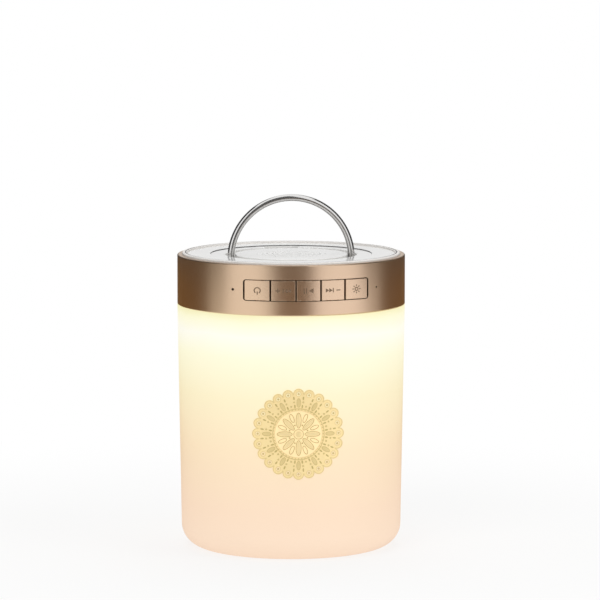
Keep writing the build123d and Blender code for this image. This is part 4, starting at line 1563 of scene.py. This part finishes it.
@dataclass
class Insides(Assembly):
    """Everything behind the skin: speaker, chassis, boards, battery and leads."""

    dressed: set[str] = field(
        default_factory=lambda: {
            "shade", "medallion", "band", "base_cover", "foot_ring", "carry_ring", "ring_pins",
            "speaker_grille", *(f"button_cap_{symbol.value}" for symbol in Symbol),
        }
    )
    soft_rings: dict[str, Point] = field(
        default_factory=lambda: {
            "speaker_surround": (15.0 * MM, 12.8 * MM),
            "speaker_spider": (8.4 * MM, 4.9 * MM),
        }
    )

    def build(self) -> None:
        """Dress each remaining CAD node in the finish of its slot, and show the soft rings on no
        body.
        """
        for node in sorted(set(frame["nodes"]) - self.dressed - set(self.soft_rings)):
            self.keep(node)
        for node, (fixed_radius, moving_radius) in self.soft_rings.items():
            self.bend(node, fixed_radius, moving_radius)

    def bend(self, node: str, fixed_radius: float, moving_radius: float) -> None:
        """Show a soft ring of the speaker, between its frame and its cone, on no body.

        Each point is laid at its radius along x while the piece is put in the scene, and then put
        back.

        Args:
            node: The ring's CAD node.
            fixed_radius: Not used; meant as the radius outside which it stays with the frame.
            moving_radius: Not used; meant as the radius inside which it follows the cone.
        """
        mesh = self.merged(node)
        places = [vertex.co.copy() for vertex in mesh.vertices]
        for vertex, place in zip(mesh.vertices, places):
            vertex.co = (place.xy.length, 0.0, 0.0)
        piece = self.show(mesh, "", self.slot_of(node))
        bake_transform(piece)
        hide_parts(node)
        for vertex, place in zip(mesh.vertices, places):
            vertex.co = place


@dataclass(frozen=True)
class Card:
    """Upright curved card: its angles in degrees from the view, its two edges and its tint."""

    start: float
    end: float
    tier: Point
    tint: Colour


@dataclass(frozen=True)
class Lamp:
    """Soft square lamp: its place in metres, the side of its square and its power in watts."""

    name: str
    place: Place
    size: float
    power: float


@dataclass
class Studio:
    """Pale floor, white surroundings, soft lamps and the dark cards that metal mirrors."""

    low_tier: ClassVar[Point] = (0.0, 0.112)
    high_tier: ClassVar[Point] = (0.112, 0.6)
    floor_radius: float = 6.0
    floor_sides: int = 96
    floor_tint: Colour = (0.86, 0.86, 0.86)
    floor_glow: float = 0.75
    shadow_reach: Point = (0.08, 0.36)
    white: Colour = (1.0, 1.0, 1.0)
    ambient: float = 0.5
    aim: Place = (0.0, 0.0, 0.08)
    card_radius: float = 0.28
    card_step: float = math.radians(2)
    cards: tuple[Card, ...] = (
        Card(-15, 19, low_tier, (0.23, 0.12, 0.04)),
        Card(19, 75, low_tier, (1.18, 1.12, 1.10)),
        Card(75, 92, low_tier, (0.74, 0.67, 0.60)),
        Card(92, 163, low_tier, (0.19, 0.10, 0.035)),
        Card(-64, -15, low_tier, (1.10, 1.05, 0.97)),
        Card(-83, -64, low_tier, (0.72, 0.66, 0.56)),
        Card(-163, -83, low_tier, (0.19, 0.10, 0.03)),
        Card(-22, 22, high_tier, (0.12, 0.12, 0.12)),
        Card(66, 163, high_tier, (0.07, 0.07, 0.07)),
        Card(-163, -60, high_tier, (0.07, 0.07, 0.07)),
        Card(163, 197, low_tier, (0.20, 0.11, 0.04)),
        Card(163, 197, (0.112, 0.16), (0.08, 0.08, 0.08)),
        Card(163, 197, (0.16, 0.6), (0.81, 0.81, 0.81)),
    )
    lamps: tuple[Lamp, ...] = (
        Lamp("key_light", (-0.75, -1.15, 1.15), 0.9, 7.0),
        Lamp("fill_light", (1.05, -0.9, 0.7), 0.9, 5.0),
        Lamp("top_light", (0.1, 0.35, 1.5), 1.0, 7.0),
    )

    def build(self) -> None:
        """Set up everything round the lamp."""
        bpy.context.scene.view_settings.view_transform = "Standard"
        self.surroundings()
        self.floor()
        for card in self.cards:
            self.stand(card)
        for lamp in self.lamps:
            self.hang(lamp)

    def seen_white(self, graph: Graph) -> Signal:
        """Tell which rays look at the background directly, in a mirror or through glass.

        Args:
            graph: The tree that needs to know.

        Returns:
            1 for these rays, 0 for the others.
        """
        path = graph.add("ShaderNodeLightPath", output="Is Camera Ray")
        total = path + path.output("Is Glossy Ray") + path.output("Is Transmission Ray")
        return total.maths("MINIMUM", 1.0)

    def surroundings(self) -> None:
        """White world where it is seen, and a softer level where it lights."""
        world = bpy.data.worlds.new("white_room")
        bpy.context.scene.world = world
        world.use_nodes = True
        graph = Graph(world.node_tree)
        strength = self.ambient + self.seen_white(graph) * (1.0 - self.ambient)
        inputs = {"Color": (*self.white, 1.0), "Strength": strength}
        light = graph.add("ShaderNodeBackground", None, inputs)
        graph.add("ShaderNodeOutputWorld", None, {"Surface": light})

    def floor(self) -> None:
        """Round pale floor that looks white and still takes the lamp's shadow."""
        work = bmesh.new()
        bmesh.ops.create_circle(
            work, cap_ends=True, segments=self.floor_sides, radius=self.floor_radius
        )
        material, graph = node_material("pale_floor")
        skin = graph.add("ShaderNodeBsdfDiffuse", None, {"Color": (*self.floor_tint, 1.0)})
        across, along, _ = graph.axes(graph.place())
        levels = (self.floor_glow, 1.0)
        fade = graph.fade(across.diagonal(along), self.shadow_reach, levels, Run.EASED)
        inputs = {"Fac": self.seen_white(graph) * fade, 1: skin, 2: graph.shining(self.white)}
        mixed = graph.add("ShaderNodeMixShader", None, inputs)
        graph.add("ShaderNodeOutputMaterial", None, {"Surface": mixed})
        self.set_out(mesh_from(work, "floor"), material)

    def set_out(self, mesh: bpy.types.Mesh, material: bpy.types.Material) -> bpy.types.Object:
        """Put a piece of the studio in the scene.

        Args:
            mesh: The piece's mesh.
            material: Its material.

        Returns:
            The piece.
        """
        mesh.materials.append(material)
        piece = put(mesh.name, mesh)
        return piece

    def stand(self, card: Card) -> None:
        """Stand a card round the lamp, where only mirrors see it.

        Args:
            card: The card; its angles run anticlockwise from above.
        """
        name = f"card_{round(card.start)}_{round(card.tier[0] / MM)}"
        first, last = math.radians(card.start), math.radians(card.end)
        count = math.ceil((last - first) / self.card_step)
        work = bmesh.new()
        edges = []
        for index in range(count + 1):
            angle = VIEW_AZIMUTH + first + (last - first) * index / count
            x, y = self.card_radius * math.sin(angle), -self.card_radius * math.cos(angle)
            edges.append([work.verts.new((x, y, z)) for z in card.tier])
        for (low, high), (next_low, next_high) in zip(edges, edges[1:]):
            work.faces.new((low, next_low, next_high, high))
        material, graph = node_material(name)
        graph.add("ShaderNodeOutputMaterial", None, {"Surface": graph.shining(card.tint)})
        piece = self.set_out(mesh_from(work, name), material)
        piece.visible_camera = False
        piece.visible_diffuse = False
        piece.visible_shadow = False
        piece.visible_transmission = False

    def hang(self, lamp: Lamp) -> None:
        """Hang a lamp that faces the speaker lamp and shows in no mirror.

        Args:
            lamp: The lamp.
        """
        light = bpy.data.lights.new(lamp.name, "AREA")
        light.size = lamp.size
        light.energy = lamp.power
        holder = put(lamp.name, light)
        holder.location = lamp.place
        aim = Vector(self.aim) - Vector(lamp.place)
        holder.rotation_mode = "QUATERNION"
        holder.rotation_quaternion = aim.to_track_quat("-Z", "Y")
        holder.visible_glossy = False


@dataclass
class View:
    """Camera at the photograph's viewing angle."""

    lens: float = 249.06
    target: Place = (0.0, 0.0, 0.070)
    distance: float = 2.0150
    azimuth: float = VIEW_AZIMUTH
    elevation: float = math.radians(7.9954)
    pitch: float = math.radians(1.396)
    yaw: float = math.radians(0.1225)

    def build(self) -> None:
        """Hang the camera, aim it at the lamp and turn it to the photograph's framing."""
        flat = math.cos(self.elevation)
        x, y = math.sin(self.azimuth) * flat, -math.cos(self.azimuth) * flat
        back = Vector((x, y, math.sin(self.elevation)))
        data = bpy.data.cameras.new("camera")
        data.lens = self.lens
        camera = put("camera", data)
        place = Vector(self.target) + back * self.distance
        aim = (-back).to_track_quat("-Z", "Y").to_matrix()
        turn = Matrix.Rotation(-self.yaw, 3, "Y") @ Matrix.Rotation(self.pitch, 3, "X")
        camera.matrix_world = Matrix.Translation(place) @ (aim @ turn).to_4x4()
        bpy.context.scene.camera = camera


def main() -> None:
    """Build the lamp's sub-assemblies, the studio and the view, and log each one as it is done."""
    logging.basicConfig(level=logging.INFO, format="%(name)s: %(message)s")
    for part in (Shade(), Band(), TopCover(), CarryRing(), Insides(), Studio(), View()):
        part.build()
        LOG.info("%s is done", type(part).__name__)


if __name__ == "__main__":
    main()
